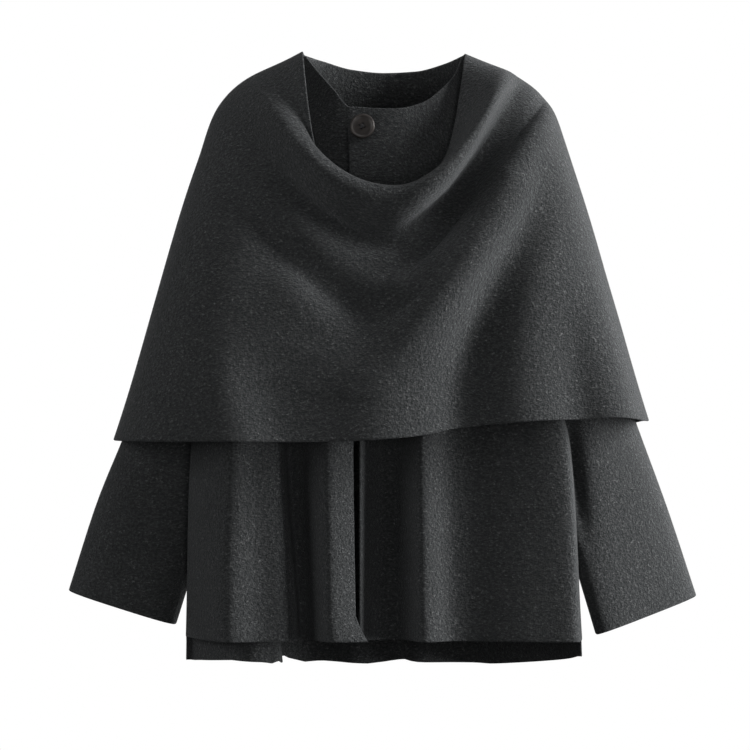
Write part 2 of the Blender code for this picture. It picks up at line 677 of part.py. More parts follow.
def make_back():
    """The back panel, with columns from the wearer's right seam to the left one."""
    neck = BACK_COLUMNS - 2 * SHOULDER_COLUMNS
    tips = [armhole(side, BACK_ANGLES)[0] for side in (RIGHT, LEFT)]
    line = neck_line(NECK_BACK, neck)
    right = np.linspace(tips[0], line[0], SHOULDER_COLUMNS + 1)[:-1]
    left = np.linspace(line[-1], tips[1], SHOULDER_COLUMNS + 1)[1:]
    top = np.concatenate([right, line, left])
    sections = []
    for section, side_y in ((CHEST, armhole(RIGHT, BACK_ANGLES)[-1][1]), (RIBS, RIBS.side_y)):
        half = quarter((-section.side_x, side_y), (0, section.back_y), section.round_b, BACK_COLUMNS // 2)
        whole = np.concatenate([half, half[-2::-1] * (-1, 1)])
        sections.append(at_depth(whole, section.down))
    chest, ribs = sections
    upper = hang(top, chest, BACK_REACH, armhole(RIGHT, BACK_ANGLES), armhole(LEFT, BACK_ANGLES))
    waist = at_depth(fold_line(FOLDS_BACK, 0, BACK_COLUMNS), WAIST_DOWN)
    hem = at_depth(fold_line(FOLDS_BACK, 1, BACK_COLUMNS), FRONT_HEM_DOWN)
    grid = loft_down([chest, ribs, waist, hem], upper)
    tail = grid[-1] + (grid[-1] - grid[-2]) * TAIL_RUN_ON
    tail[:, 2] = -BACK_HEM_DOWN - BACK_HEM_SAG * np.sin(np.linspace(0, np.pi, BACK_COLUMNS + 1)) ** 2
    return np.concatenate([grid, tail[None]])


def make_coat():
    def right_edge(section):
        return section.edge_r_x, section.edge_r_y

    def left_edge(section):
        return section.edge_l_x, section.edge_l_y

    front_right = Cloth(make_front(RIGHT, FOLDS_RIGHT_FRONT, NECK_RIGHT_FRONT, right_edge))
    front_left = Cloth(make_front(LEFT, FOLDS_LEFT_FRONT, NECK_LEFT_FRONT, left_edge)[:, ::-1])
    back = Cloth(make_back()[:, ::-1])
    sleeve_right = make_sleeve(SLEEVE_RIGHT, RIGHT)
    sleeve_left = make_sleeve(SLEEVE_LEFT, LEFT)

    seam_rows = slice(ARMHOLE_STEPS, len(front_right.grid))
    arm_rows = np.arange(ARMHOLE_STEPS + 1)
    shoulder = slice(0, SHOULDER_COLUMNS + 1)
    far_shoulder = slice(-1, -SHOULDER_COLUMNS - 2, -1)
    sides = (
        (front_right, 0, 1, shoulder, -1, -2, far_shoulder, sleeve_right, arm_rows),
        (front_left, -1, -2, far_shoulder, 0, 1, shoulder, sleeve_left, -arm_rows),
    )
    for front, f_edge, f_in, f_shoulder, b_edge, b_in, b_shoulder, sleeve, front_columns in sides:
        sew((front, (seam_rows, f_edge), (seam_rows, f_in)), (back, (seam_rows, b_edge), (seam_rows, b_in)))
        sew((front, (0, f_shoulder), (1, f_shoulder)), (back, (0, b_shoulder), (1, b_shoulder)))
        shared = sleeve.normals[0].copy()
        for body, edge, inside, columns in (
            (front, f_edge, f_in, front_columns),
            (back, b_edge, b_in, -front_columns),
        ):
            shared[columns] = unit(body.normals[arm_rows, edge] + sleeve.normals[0, columns])
            body.meet((arm_rows, edge), (arm_rows, inside), shared[columns])
        sleeve.meet(0, 1, shared)
    return front_right, front_left, back, sleeve_right, sleeve_left


# ---------------------------------------------------------------------------------------------------- the button


def make_button(front, material):
    """A four-hole button with a raised rim, lying on the left front just outside its cloth."""
    mesh = bpy.data.meshes.new("button")
    radius = BUTTON_DIAMETER / 2
    points = [((radius - p.in_from_edge) * MM, 0, p.height * MM) for p in BUTTON_PROFILE[::-1]]
    mesh.from_pydata(points, [(i, i + 1) for i in range(len(points) - 1)], [])
    button = add("button", mesh, material)
    turn = button.modifiers.new("Turn", "SCREW")
    turn.steps = turn.render_steps = BUTTON_SIDES
    turn.use_merge_vertices = True
    turn.merge_threshold = 0.000001
    for i in range(BUTTON_HOLES):
        angle = np.radians(BUTTON_TURN + 360 / BUTTON_HOLES * i)
        bpy.ops.mesh.primitive_cylinder_add(
            vertices=BUTTON_HOLE_SIDES,
            radius=BUTTON_HOLE / 2 * MM,
            depth=BUTTON_CUTTER_LENGTH * MM,
        )
        cutter = bpy.context.object
        cutter.name = f"button_hole_cutter_{i + 1}"
        cutter.location = (
            BUTTON_HOLE_SPREAD * np.cos(angle) * MM,
            BUTTON_HOLE_SPREAD * np.sin(angle) * MM,
            0,
        )
        cutter.hide_render = True
        cutter.display_type = "WIRE"
        cutter.parent = button
        for collection in cutter.users_collection:
            collection.objects.unlink(cutter)
        bpy.data.collections["Cutters"].objects.link(cutter)
        hole = button.modifiers.new(f"Hole {i + 1}", "BOOLEAN")
        hole.object = cutter
    offset = front.grid - np.array([BUTTON_X, 0, -BUTTON_DOWN])
    distance = np.hypot(offset[..., 0], offset[..., 2])
    r, c = np.unravel_index(distance.argmin(), distance.shape)
    down, across = unit(front.grid[r + 1, c] - front.grid[r, c]), unit(front.grid[r, c + 1] - front.grid[r, c])
    normal = unit(np.cross(down, across))
    ahead = np.dot(front.grid[r, c] - (BUTTON_X, 0, -BUTTON_DOWN), normal) / normal[1]
    seat = np.array([BUTTON_X, ahead, -BUTTON_DOWN]) + normal * (CLOTH / 2 + SEAM_GAP)
    upright = unit(np.cross(across, normal))
    sideways = np.cross(upright, normal)
    frame = np.eye(4)
    frame[:3, 0], frame[:3, 1], frame[:3, 2], frame[:3, 3] = sideways, upright, normal, seat * MM
    button.matrix_world = Matrix(frame.tolist())
    return button


# ------------------------------------------------------------------------------------------------- putting it up


def cloth_material(name, colour):
    material = bpy.data.materials.new(name)
    material.use_nodes = True
    shader = material.node_tree.nodes["Principled BSDF"]
    shader.inputs["Base Color"].default_value = colour
    shader.inputs["Roughness"].default_value = 0.95
    shader.inputs["Metallic"].default_value = 0.0
    return material


def button_material():
    material = bpy.data.materials.new("horn_button")
    material.use_nodes = True
    shader = material.node_tree.nodes["Principled BSDF"]
    shader.inputs["Base Color"].default_value = HORN_BROWN
    shader.inputs["Roughness"].default_value = 0.45
    shader.inputs["Metallic"].default_value = 0.0
    return material


def add(name, mesh, material):
    piece = bpy.data.objects.new(name, mesh)
    mesh.materials.append(material)
    bpy.data.collections["Cape coat"].objects.link(piece)
    return piece


def clear_scene():
    for old in list(bpy.data.objects):
        bpy.data.objects.remove(old, do_unlink=True)
    for name in ("Cape coat", "Cutters"):
        bpy.context.scene.collection.children.link(bpy.data.collections.new(name))


def main():
    clear_scene()
    cape_front, cape_back = make_cape()
    front_right, front_left, back, sleeve_right, sleeve_left = make_coat()
    pieces = {
        "coat_back": back,
        "coat_front_right": front_right,
        "coat_front_left": front_left,
        "sleeve_right": sleeve_right,
        "sleeve_left": sleeve_left,
        "cape_front": cape_front,
        "cape_back": cape_back,
    }
    for name, cloth in pieces.items():
        cloth.wall(name, cloth_material(name + "_wool", CHARCOAL))
    make_button(front_left, button_material())


main()
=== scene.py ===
# %% [markdown]
# # A short wool coat with a draped shoulder cape
#
# The coat is sewn from seven pieces of thick brushed wool: two fronts, a back, two sleeves, and the front
# and the back of a cape that falls over the shoulders. One horn button closes the neck. It is shown filled
# out, as if it were worn, with nobody in it.
#
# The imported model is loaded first. It holds every piece as a plain solid in its true place, and the
# finished cloth below takes the place of each one.

from collections import namedtuple

import bmesh
import bpy
import numpy as np
from mathutils import Matrix, Vector


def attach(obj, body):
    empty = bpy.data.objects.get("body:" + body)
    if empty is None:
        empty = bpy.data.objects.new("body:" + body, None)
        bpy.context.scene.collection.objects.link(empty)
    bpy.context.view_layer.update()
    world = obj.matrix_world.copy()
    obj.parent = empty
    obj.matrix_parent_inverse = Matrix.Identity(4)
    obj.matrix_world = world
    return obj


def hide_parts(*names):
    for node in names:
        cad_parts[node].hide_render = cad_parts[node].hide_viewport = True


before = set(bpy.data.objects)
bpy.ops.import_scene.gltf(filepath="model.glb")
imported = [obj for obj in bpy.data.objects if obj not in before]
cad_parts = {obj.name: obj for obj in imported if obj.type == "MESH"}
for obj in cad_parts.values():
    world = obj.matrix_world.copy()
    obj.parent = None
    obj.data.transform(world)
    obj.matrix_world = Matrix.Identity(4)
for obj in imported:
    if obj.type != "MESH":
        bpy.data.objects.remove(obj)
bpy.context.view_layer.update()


print("nodes:", ", ".join(sorted(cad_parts)))

# %% [markdown]
# ## The camera
#
# The photo looks straight at the front from far away. A long lens keeps the sleeves and the hem free of
# perspective. One pixel of the 750 pixel frame is 1.12 mm at the coat.

# %% The camera
MM = 0.001
PIXEL = 1.12 * MM  # at the coat
PICTURE_SIDE = 750  # pixels
NECK_PIXEL = (384, 54)  # where the origin lies in the photo
CAMERA_DISTANCE = 4.0  # metres
SENSOR = 36.0  # millimetres, as the lens is

middle_of_picture = Vector(
    ((PICTURE_SIDE / 2 - NECK_PIXEL[0]) * PIXEL, 0, -(PICTURE_SIDE / 2 - NECK_PIXEL[1]) * PIXEL)
)


def aim(thing, at):
    """Turns a camera or a light so that it looks at a point."""
    thing.rotation_euler = (at - thing.location).to_track_quat("-Z", "Y").to_euler()


camera = bpy.data.objects.new("camera", bpy.data.cameras.new("camera"))
bpy.context.scene.collection.objects.link(camera)
camera.location = middle_of_picture + Vector((0, -CAMERA_DISTANCE, 0))
aim(camera, middle_of_picture)
camera.data.sensor_width = SENSOR
camera.data.lens = SENSOR * CAMERA_DISTANCE / (PICTURE_SIDE * PIXEL)
bpy.context.scene.camera = camera
print(f"camera: {camera.data.lens:.1f} mm lens at {CAMERA_DISTANCE} m")

# %% [markdown]
# ## The light
#
# In the photo the light comes from one side. The viewer's right is bright, and the folds that turn away
# from it are nearly black. So one tall soft lamp stands on the right, at a low angle to the front of the
# coat, and weak ones in front, on the left and above only lift the shadows. Two more stand behind for the
# views of the back. A Light Path node lets the room look white and still light the wool only a little.

# %% Lamps and a white room
Lamp = namedtuple("Lamp", "name place wide high power")  # metres and watts
LAMPS = (
    Lamp("key_light", (3.6, -0.75, 0.4), 0.8, 3.2, 390),
    Lamp("front_fill", (0.4, -4.2, -0.5), 1.6, 1.6, 36),
    Lamp("left_fill", (-3.2, -1.2, 0.4), 2.0, 2.0, 42),
    Lamp("left_rim", (-3.4, 0.3, 0.6), 1.5, 1.5, 6),
    Lamp("top_fill", (0.3, -0.9, 3.0), 2.0, 2.0, 22),
    Lamp("back_key", (2.8, 3.0, 0.7), 1.2, 2.4, 150),
    Lamp("back_fill", (-1.6, 3.8, 0.2), 2.0, 2.0, 40),
)
ROOM_LIGHT = 0.03

for lamp in LAMPS:
    light = bpy.data.lights.new(lamp.name, "AREA")
    light.shape = "RECTANGLE"
    light.size, light.size_y = lamp.wide, lamp.high
    light.energy = lamp.power
    holder = bpy.data.objects.new(lamp.name, light)
    bpy.context.scene.collection.objects.link(holder)
    holder.location = lamp.place
    aim(holder, middle_of_picture)

# The room is white to the eye and dim to the cloth.
room = bpy.data.worlds.new("white_room")
bpy.context.scene.world = room
room.use_nodes = True
room_nodes, room_links = room.node_tree.nodes, room.node_tree.links
seen = room_nodes["Background"]
seen.inputs["Color"].default_value = (1, 1, 1, 1)
felt = room_nodes.new("ShaderNodeBackground")
felt.inputs["Color"].default_value = (1, 1, 1, 1)
felt.inputs["Strength"].default_value = ROOM_LIGHT
path = room_nodes.new("ShaderNodeLightPath")
choose = room_nodes.new("ShaderNodeMixShader")
room_links.new(path.outputs["Is Camera Ray"], choose.inputs["Fac"])
room_links.new(felt.outputs[0], choose.inputs[1])
room_links.new(seen.outputs[0], choose.inputs[2])
room_links.new(choose.outputs[0], room_nodes["World Output"].inputs["Surface"])
bpy.context.scene.view_settings.view_transform = "Standard"
print("lamps:", ", ".join(lamp.name for lamp in LAMPS))

# %% [markdown]
# ## Shader sums
#
# A material is a graph of nodes, and its maths is easier to read as Python. `Wire` wraps a socket, so that
# `0.75 + 0.5 * patches` adds the Math nodes that work it out. `Bench` is one material's node tree, and its
# `add` makes any other node from its type, its settings and what goes into its sockets.

# %% A bench for nodes


class Wire:
    """A socket that can stand in a sum. Each operator adds the Math node that does it."""

    def __init__(self, bench, socket):
        self.bench = bench
        self.socket = socket

    def _math(self, operation, *values):
        return self.bench.add("ShaderNodeMath", {"operation": operation}, dict(enumerate(values)))

    def __add__(self, other):
        return self._math("ADD", self, other)

    def __radd__(self, other):
        return self._math("ADD", other, self)

    def __mul__(self, other):
        return self._math("MULTIPLY", self, other)

    def __rmul__(self, other):
        return self._math("MULTIPLY", other, self)

    def larger(self, other):
        return self._math("MAXIMUM", self, other)


class Bench:
    """One material and the nodes in it."""

    def __init__(self, name):
        self.material = bpy.data.materials.new(name)
        self.material.use_nodes = True
        self.nodes = self.material.node_tree.nodes
        self.links = self.material.node_tree.links
        self.shader = self.nodes["Principled BSDF"]

    def add(self, kind, settings=None, inputs=None, output=0):
        node = self.nodes.new(kind)
        for name, value in (settings or {}).items():
            if name == "stops":
                self._set_stops(node.color_ramp, value)
            else:
                setattr(node, name, value)
        self.feed(node, inputs or {})
        return Wire(self, node.outputs[output])

    def feed(self, node, inputs):
        """Sets sockets to values, or links them to wires."""
        for name, value in inputs.items():
            if isinstance(value, Wire):
                self.links.new(value.socket, node.inputs[name])
            else:
                node.inputs[name].default_value = value

    @staticmethod
    def _set_stops(ramp, stops):
        while len(ramp.elements) < len(stops):
            ramp.elements.new(0.5)
        for element, (place, value) in zip(ramp.elements, stops):
            element.position = place
            element.color = (value, value, value, 1)

    def blend(self, share, first, second):
        """Mixes two colours."""
        settings = {"data_type": "RGBA"}
        return self.add("ShaderNodeMix", settings, {0: share, 6: first, 7: second}, output=2)

    def ramp(self, value, *stops):
        """Remaps a number through (place, value) stops."""
        return self.add("ShaderNodeValToRGB", {"stops": stops}, {"Fac": value})

    def grain(self, where, size, **inputs):
        """Noise whose grains are about size metres across."""
        return self.add("ShaderNodeTexNoise", None, {"Vector": where, "Scale": 1 / size, **inputs})

    def finish(self, **inputs):
        """Feeds the shader, with _ for a space in a socket's name, and hands over the material."""
        self.feed(self.shader, {name.replace("_", " "): value for name, value in inputs.items()})
        return self.material


print("bench ready")

# %% [markdown]
# ## Brushed wool
#
# The cloth is a charcoal melange: black, grey and a few pale fibres are carded together before they are
# spun, and brushing then lays a short nap over the weave. Seen from a step away it is a fine
# salt-and-pepper grain. Three layers of noise, each stretched along its own direction, stand for fibres
# that lie every way. Where the strokes meet raised tufts the wool is palest. The same layers drive the
# bump, so that the nap catches the light from the side and stays smooth where the light is from in front.

# %% The wool
TUFT = 3.4 * MM  # the tufts that the brushing draws out
FIBRE = 4.4 * MM  # the strokes of single fibres
PATCH = 14 * MM  # where the card left more or less of the grey
DRAWN_OUT = (1, 2.2, 2.2)  # how much finer a fibre is across than along
FIBRE_TURNS = ((0.0, 0.0, 0.4), (0.7, 0.5, 2.0), (1.2, 0.9, 3.4))  # how each layer of fibres is turned
NAP_HEIGHT = 3.6 * MM
# Stops that turn noise into a share of a colour.
GREY_STROKES = ((0.50, 0), (0.68, 1))
PALE_STROKES = ((0.54, 0), (0.70, 1))
PALE_TUFTS = ((0.54, 0), (0.72, 1))
BLACK_WOOL = (0.0200, 0.0216, 0.0222, 1)
GREY_WOOL = (0.0430, 0.0448, 0.0456, 1)
PALE_WOOL = (0.150, 0.151, 0.153, 1)
NAP_SHEEN = {
    "Sheen Weight": 0.12,
    "Sheen Roughness": 0.55,
    "Sheen Tint": (0.75, 0.77, 0.8, 1),
    "Specular IOR Level": 0.12,
}


def wool_material(name):
    bench = Bench(name)
    place = bench.add("ShaderNodeTexCoord", output="Object")
    strokes = None
    for turn in FIBRE_TURNS:
        turned = bench.add("ShaderNodeMapping", None, {0: place, "Rotation": turn, "Scale": DRAWN_OUT})
        layer = bench.grain(turned, FIBRE, Detail=2.0, Roughness=0.6)
        strokes = layer if strokes is None else strokes.larger(layer)
    patches = bench.grain(place, PATCH, Detail=3.0)
    tufts = bench.grain(place, TUFT, Detail=3.0, Roughness=0.75)
    grey = bench.ramp(strokes, *GREY_STROKES) * (0.75 + 0.5 * patches)
    pale = bench.ramp(tufts, *PALE_TUFTS) * bench.ramp(strokes, *PALE_STROKES)
    colour = bench.blend(pale, bench.blend(grey, BLACK_WOOL, GREY_WOOL), PALE_WOOL)
    relief = 0.5 * strokes + tufts
    bump = bench.add("ShaderNodeBump", None, {"Strength": 1.0, "Distance": NAP_HEIGHT, "Height": relief})
    bench.feed(bench.shader, NAP_SHEEN)
    return bench.finish(Base_Color=colour, Roughness=0.92, Normal=bump)


wool = wool_material("charcoal_wool")
print("wool nodes:", len(wool.node_tree.nodes))

# %% [markdown]
# ## Working lines
#
# Every piece is a grid of points on the middle of the cloth. The rows come from short tables of sizes in
# millimetres, and `smooth` draws a curve through the rows of a table that never swings past a value.

# %% Curves through a table
CLOTH = 2.5  # thickness of the wool, in millimetres
SEAM_GAP = 0.3
FINER = 4  # grid lines for each one that the plain solids have
FINE = 240  # points on a working line before it is spaced evenly
RIGHT, LEFT = -1, 1  # the wearer's sides, as the sign of x


def smooth(stations, values, at):
    """Reads a curve through values at stations, at the places in at. It never swings past a value."""
    stations, values, at = (np.asarray(a, float) for a in (stations, values, at))
    step = np.diff(stations).reshape((-1,) + (1,) * (values.ndim - 1))
    slope = np.diff(values, axis=0) / step
    before, after = slope[:-1], slope[1:]
    heavy, light = 2 * step[1:] + step[:-1], step[1:] + 2 * step[:-1]
    bends_on = before * after > 0
    safe_before, safe_after = np.where(bends_on, before, 1), np.where(bends_on, after, 1)
    inner = np.where(bends_on, (heavy + light) / (heavy / safe_before + light / safe_after), 0)
    tangent = np.concatenate([slope[:1], inner, slope[-1:]])
    index = np.clip(np.searchsorted(stations, at, side="right") - 1, 0, len(stations) - 2)
    width = step[index]
    t = (at - stations[index]).reshape((-1,) + (1,) * (values.ndim - 1)) / width
    return (
        (1 + 2 * t) * (1 - t) ** 2 * values[index]
        + t * (1 - t) ** 2 * width * tangent[index]
        + t * t * (3 - 2 * t) * values[index + 1]
        - t * t * (1 - t) * width * tangent[index + 1]
    )


def evenly(points, count):
    """The same curve with count + 1 points, evenly spaced along it."""
    gone = np.concatenate([[0], np.cumsum(np.linalg.norm(np.diff(points, axis=0), axis=1))])
    at = np.linspace(0, gone[-1], count + 1)
    return np.stack([np.interp(at, gone, axis) for axis in points.T], axis=1)


def unit(vectors):
    return vectors / np.linalg.norm(vectors, axis=-1, keepdims=True)


def stations_of(steps):
    """Where the grid rows lie between table rows 0, 1, 2..., with a number of steps from each to the next."""
    parts = [i + np.arange(n * FINER) / (n * FINER) for i, n in enumerate(steps)]
    return np.concatenate(parts + [[len(steps)]])


print("each grid line of the plain solids becomes", FINER, "here")

# %% [markdown]
# ## Creases
#
# On the real coat a crease is where slack cloth has found room: it rises to a soft ridge, or sinks to a
# trough, and dies away at its ends. Creases could be sculpted by hand, but a few points along each one do
# as well and can be changed at any time. At each point a crease has how far it pushes the cloth out and how
# far it spreads to either side.

# %% How a crease lifts the cloth
# A crease is a ridge, or a trough where its push is below 0. left and right are how far it spreads to either
# hand of somebody who walks along it, as the cloth is seen from outside. All are in millimetres.
CreasePoint = namedtuple("CreasePoint", "across down push left right")


def crease_lift(places, crease):
    """How far a crease lifts each place. places is an array of (across, down)."""
    path = np.array(crease, float)
    best = np.full(places.shape[:-1], np.inf)
    lift = np.zeros(places.shape[:-1])
    for start, end in zip(path, path[1:]):
        along = end[:2] - start[:2]
        way = places - start[:2]
        share = (way @ along / (along @ along)).clip(0, 1)
        off = way - share[..., None] * along
        away = np.linalg.norm(off, axis=-1)
        on_right = along[0] * off[..., 1] - along[1] * off[..., 0] > 0
        push, left, right = (start[i] + share * (end[i] - start[i]) for i in (2, 3, 4))
        spread = np.where(on_right, right, left)
        nearer = away < best
        best = np.where(nearer, away, best)
        lift = np.where(nearer, push * np.exp(-((away / spread) ** 2)), lift)
    return lift


def mirrored(creases):
    """The same creases on the other side of the body."""
    return {
        name: [CreasePoint(-p.across, p.down, p.push, p.right, p.left) for p in points]
        for name, points in creases.items()
    }


print("a crease point has", ", ".join(CreasePoint._fields))

# %% [markdown]
# ## A piece of cloth
#
# `Cloth` keeps a piece's grid, its normals and half its thickness at each point. `press` lays creases into
# it, and `meet` ends it on a seam. `wall` gives it two skins, with a rounded edge all the way round, as
# felted wool has. A Solidify modifier would thicken it too, but it leaves square edges and doesn't bring
# two pieces to one seam.

# %% Cloth
MITRE_LIMIT = 0.55  # the least cosine between a seam and a piece's own normal that still thickens its rim
MOST_OF_A_CELL = 0.8  # the rounding of an edge stays within this share of the first cell
# How an edge rounds off: the distance in from it, in millimetres, and the share of the thickness there.
Edge = namedtuple("Edge", "inward thick")
EDGE_ROUND = (Edge(0.0, 0.35), Edge(0.35, 0.74), Edge(1.0, 0.95), Edge(2.2, 1.0))
FRONT, BEHIND = -1, 1  # the two ways that cloth can face, as the sign of its normal's y


class Cloth:
    """The middle surface of one cut piece. Columns run from left to right on its outside, and rows down."""

    def __init__(self, grid, closed=False):
        self.grid = grid
        self.closed = closed
        self.half = np.full(grid.shape[:2], CLOTH / 2)
        self.find_normals()

    def find_normals(self):
        across = self.grid
        if self.closed:  # a tube, whose last column goes on to its first
            across = np.concatenate([self.grid[:, -1:], self.grid, self.grid[:, :1]], axis=1)
            across = np.gradient(across, axis=1)[:, 1:-1]
        else:
            across = np.gradient(across, axis=1)
        self.normals = unit(np.cross(np.gradient(self.grid, axis=0), across))

    def raise_by(self, lift):
        """Moves each point out along its normal."""
        self.grid = self.grid + self.normals * lift[..., None]
        self.find_normals()

    def press(self, creases, facing=0):
        """Presses creases in. facing is FRONT or BEHIND where only cloth that faces that way takes them."""
        places = np.stack([self.grid[..., 0], -self.grid[..., 2]], axis=-1)
        lift = sum(crease_lift(places, crease) for crease in creases.values())
        if facing:
            lift = lift * np.clip(2 * facing * self.normals[..., 1], 0, 1)
        self.raise_by(lift)

    def soften(self, times):
        """Rounds what is too sharp for thick cloth. Each inner point moves in between its neighbours."""
        grid = self.grid
        for _ in range(times):
            grid[1:-1] = (grid[:-2] + 2 * grid[1:-1] + grid[2:]) / 4
            grid[:, 1:-1] = (grid[:, :-2] + 2 * grid[:, 1:-1] + grid[:, 2:]) / 4
        self.find_normals()

    def meet(self, edge, inside, shared):
        """Ends an edge half a seam gap short of the plane of a seam, whose cloth there faces along shared."""
        lean = np.clip((self.normals[edge] * shared).sum(axis=-1), MITRE_LIMIT, 1)
        self.normals[edge] = shared
        self.half[edge] = CLOTH / 2 / lean
        towards = unit(self.grid[inside] - self.grid[edge])
        self.grid[edge] += towards * (SEAM_GAP / 2 / lean)[..., None]

    def round_edges(self, axis):
        """Adds grid lines close to both ends of an axis, where the wall grows thin."""
        for end in (0, -1):
            next_line = 1 if end == 0 else -2
            edge, inside = self.grid.take(end, axis), self.grid.take(next_line, axis)
            edge_n, inside_n = self.normals.take(end, axis), self.normals.take(next_line, axis)
            edge_h, inside_h = self.half.take(end, axis), self.half.take(next_line, axis)
            width = np.linalg.norm(inside - edge, axis=-1)
            lines = []
            for step in EDGE_ROUND:
                share = np.minimum(step.inward / width, MOST_OF_A_CELL)[..., None]
                lines.append(
                    (
                        edge + (inside - edge) * share,
                        unit(edge_n + (inside_n - edge_n) * share),
                        (edge_h + (inside_h - edge_h) * share[..., 0]) * step.thick,
                    )
                )
            if end == -1:
                lines = lines[::-1]
            grids, normals, halves = (np.stack(group, axis) for group in zip(*lines))
            keep = [slice(None)] * 2
            keep[axis] = slice(1, None) if end == 0 else slice(None, -1)
            keep = tuple(keep)
            parts = (grids, self.grid[keep]), (normals, self.normals[keep]), (halves, self.half[keep])
            if end == -1:
                parts = tuple(pair[::-1] for pair in parts)
            self.grid, self.normals, self.half = (np.concatenate(pair, axis) for pair in parts)

    def cut_size(self):
        """The longest width and length along the cloth and its area, in metres."""
        grid = np.concatenate([self.grid, self.grid[:, :1]], axis=1) if self.closed else self.grid
        right, down = np.diff(grid, axis=1), np.diff(grid, axis=0)
        width = np.linalg.norm(right, axis=2).sum(axis=1).max()
        length = np.linalg.norm(down, axis=2).sum(axis=0).max()
        corner = np.linalg.norm(np.cross(right[:-1], down[:, : right.shape[1]]), axis=2)
        return [round(float(size), 3) for size in (width * MM, length * MM, corner.sum() * MM * MM)]

    def wall(self, name, material):
        """The finished piece: two skins either side of the grid, and a rim round its edges."""
        self.round_edges(0)
        if not self.closed:
            self.round_edges(1)
        rows, columns = self.grid.shape[:2]
        offset = self.normals * self.half[..., None]
        points = np.concatenate([(self.grid + offset).reshape(-1, 3), (self.grid - offset).reshape(-1, 3)])
        inner = rows * columns
        spans = columns if self.closed else columns - 1
        r, c = np.meshgrid(np.arange(rows - 1), np.arange(spans), indexing="ij")
        a, b = (r * columns + c).ravel(), (r * columns + (c + 1) % columns).ravel()
        outer = np.stack([a, a + columns, b + columns, b], axis=1)
        faces = [outer, outer[:, ::-1] + inner]
        top = np.arange(spans + 1) % columns
        rims = [top, ((rows - 1) * columns + top)[::-1]]
        if not self.closed:
            down = np.arange(rows) * columns
            rims += [down[::-1], down + columns - 1]
        for rim in rims:
            faces.append(np.stack([rim[:-1], rim[1:], rim[1:] + inner, rim[:-1] + inner], axis=1))
        mesh = bpy.data.meshes.new(name)
        mesh.from_pydata((points * MM).tolist(), [], np.concatenate(faces).tolist())
        mesh.shade_smooth()
        mesh.materials.append(material)
        piece = bpy.data.objects.new(name, mesh)
        bpy.context.scene.collection.objects.link(piece)
        return piece


def sew(first, second):
    """Ends two edges on the plane that halves the angle between them. Each is (cloth, edge, inside)."""
    shared = unit(first[0].normals[first[1]] + second[0].normals[second[1]])
    for cloth, edge, inside in (first, second):
        cloth.meet(edge, inside, shared)


print(f"cloth is {CLOTH} mm thick, with its edge rounded over {EDGE_ROUND[-1].inward} mm")

# %% [markdown]
# ## The sleeves
#
# Each sleeve is one piece of cloth, sewn into a tube under the arm. It is wide and nearly straight, and its
# mouth is an oval that stands open by itself. A tube swept along a curve would have the same ring
# everywhere, so the table gives each ring its own size: where its outer line and its underarm line lie, and
# how deep it is from front to back. Both sleeves start from the same armhole.

# %% Rings of the sleeves
# out and down place the outer line, in_out and in_down the underarm line. A square below 1 gives a boxy ring.
Ring = namedtuple("Ring", "out down in_out in_down half_depth y_out y_in square")
SLEEVE_TOP = (
    Ring(168, 53, 139, 213, 59, 1, 1, 1.0),
    Ring(180, 72, 148, 213, 60, 2, 2, 1.0),
    Ring(191, 99, 155, 219, 60, 4, 4, 1.0),
    Ring(202, 132, 161, 238, 60, 6, 6, 1.0),
)
SLEEVE_RIGHT = SLEEVE_TOP + (
    Ring(221, 205, 165, 283, 57, 12, 10, 0.95),
    Ring(246, 290, 169, 338, 52, 18, 12, 0.9),
    Ring(277, 390, 180, 425, 45, 25, 13, 0.85),
    Ring(294, 434, 188, 472, 43, 26, 11, 0.8),
    Ring(321, 500, 203, 536, 41, 27, 9, 0.75),
    Ring(354, 602, 234, 638, 38, 28, 2, 0.7),
)
SLEEVE_LEFT = SLEEVE_TOP + (
    Ring(221, 205, 165, 283, 57, 16, 8, 0.95),
    Ring(246, 290, 169, 338, 50, 22, 2, 0.9),
    Ring(275, 390, 180, 425, 39, 30, -8, 0.92),
    Ring(289, 428, 188, 472, 36, 36, -12, 0.92),
    Ring(318, 506, 206, 542, 34, 43, -15, 0.8),
    Ring(352, 609, 237, 648, 29, 42, -20, 0.65),
)
ARMHOLE_STEPS = 10 * FINER
SLEEVE_ROWS = 14 * FINER
SLEEVE_CROWDING = 1.35  # above 1, rows lie closer together at the armhole


def sleeve_ring(ring, side, angles):
    """One ring of a sleeve. Angle 0 is its outer line, 90 degrees its front and 180 its underarm line."""
    out_x, out_down, in_x, in_down, half_depth, y_out, y_in, square = ring
    out = np.array([side * out_x, y_out, -out_down])
    under = np.array([side * in_x, y_in, -in_down])
    middle, across = (out + under) / 2, (out - under) / 2
    forward = np.array([0, -half_depth, 0])
    round_way, deep_way = (np.sign(way) * np.abs(way) ** square for way in (np.cos(angles), np.sin(angles)))
    return middle + round_way[:, None] * across + deep_way[:, None] * forward


def armhole(side, angles):
    return sleeve_ring(SLEEVE_TOP[0], side, angles)


FRONT_ANGLES = np.linspace(0, np.pi, ARMHOLE_STEPS + 1)
BACK_ANGLES = -FRONT_ANGLES
for cuff in (SLEEVE_RIGHT[-1], SLEEVE_LEFT[-1]):
    wide = np.hypot(cuff.out - cuff.in_out, cuff.down - cuff.in_down)
    print(f"a cuff is {wide:.0f} mm wide and {2 * cuff.half_depth} mm deep")

# %% [markdown]
# ## Creases of the sleeves
#
# The left sleeve caves in along its inner side, where it has swung behind the coat's side. Behind, both
# sleeves have slack above and below the elbow and one long fall to the cuff. The back of one sleeve mirrors
# the other's.

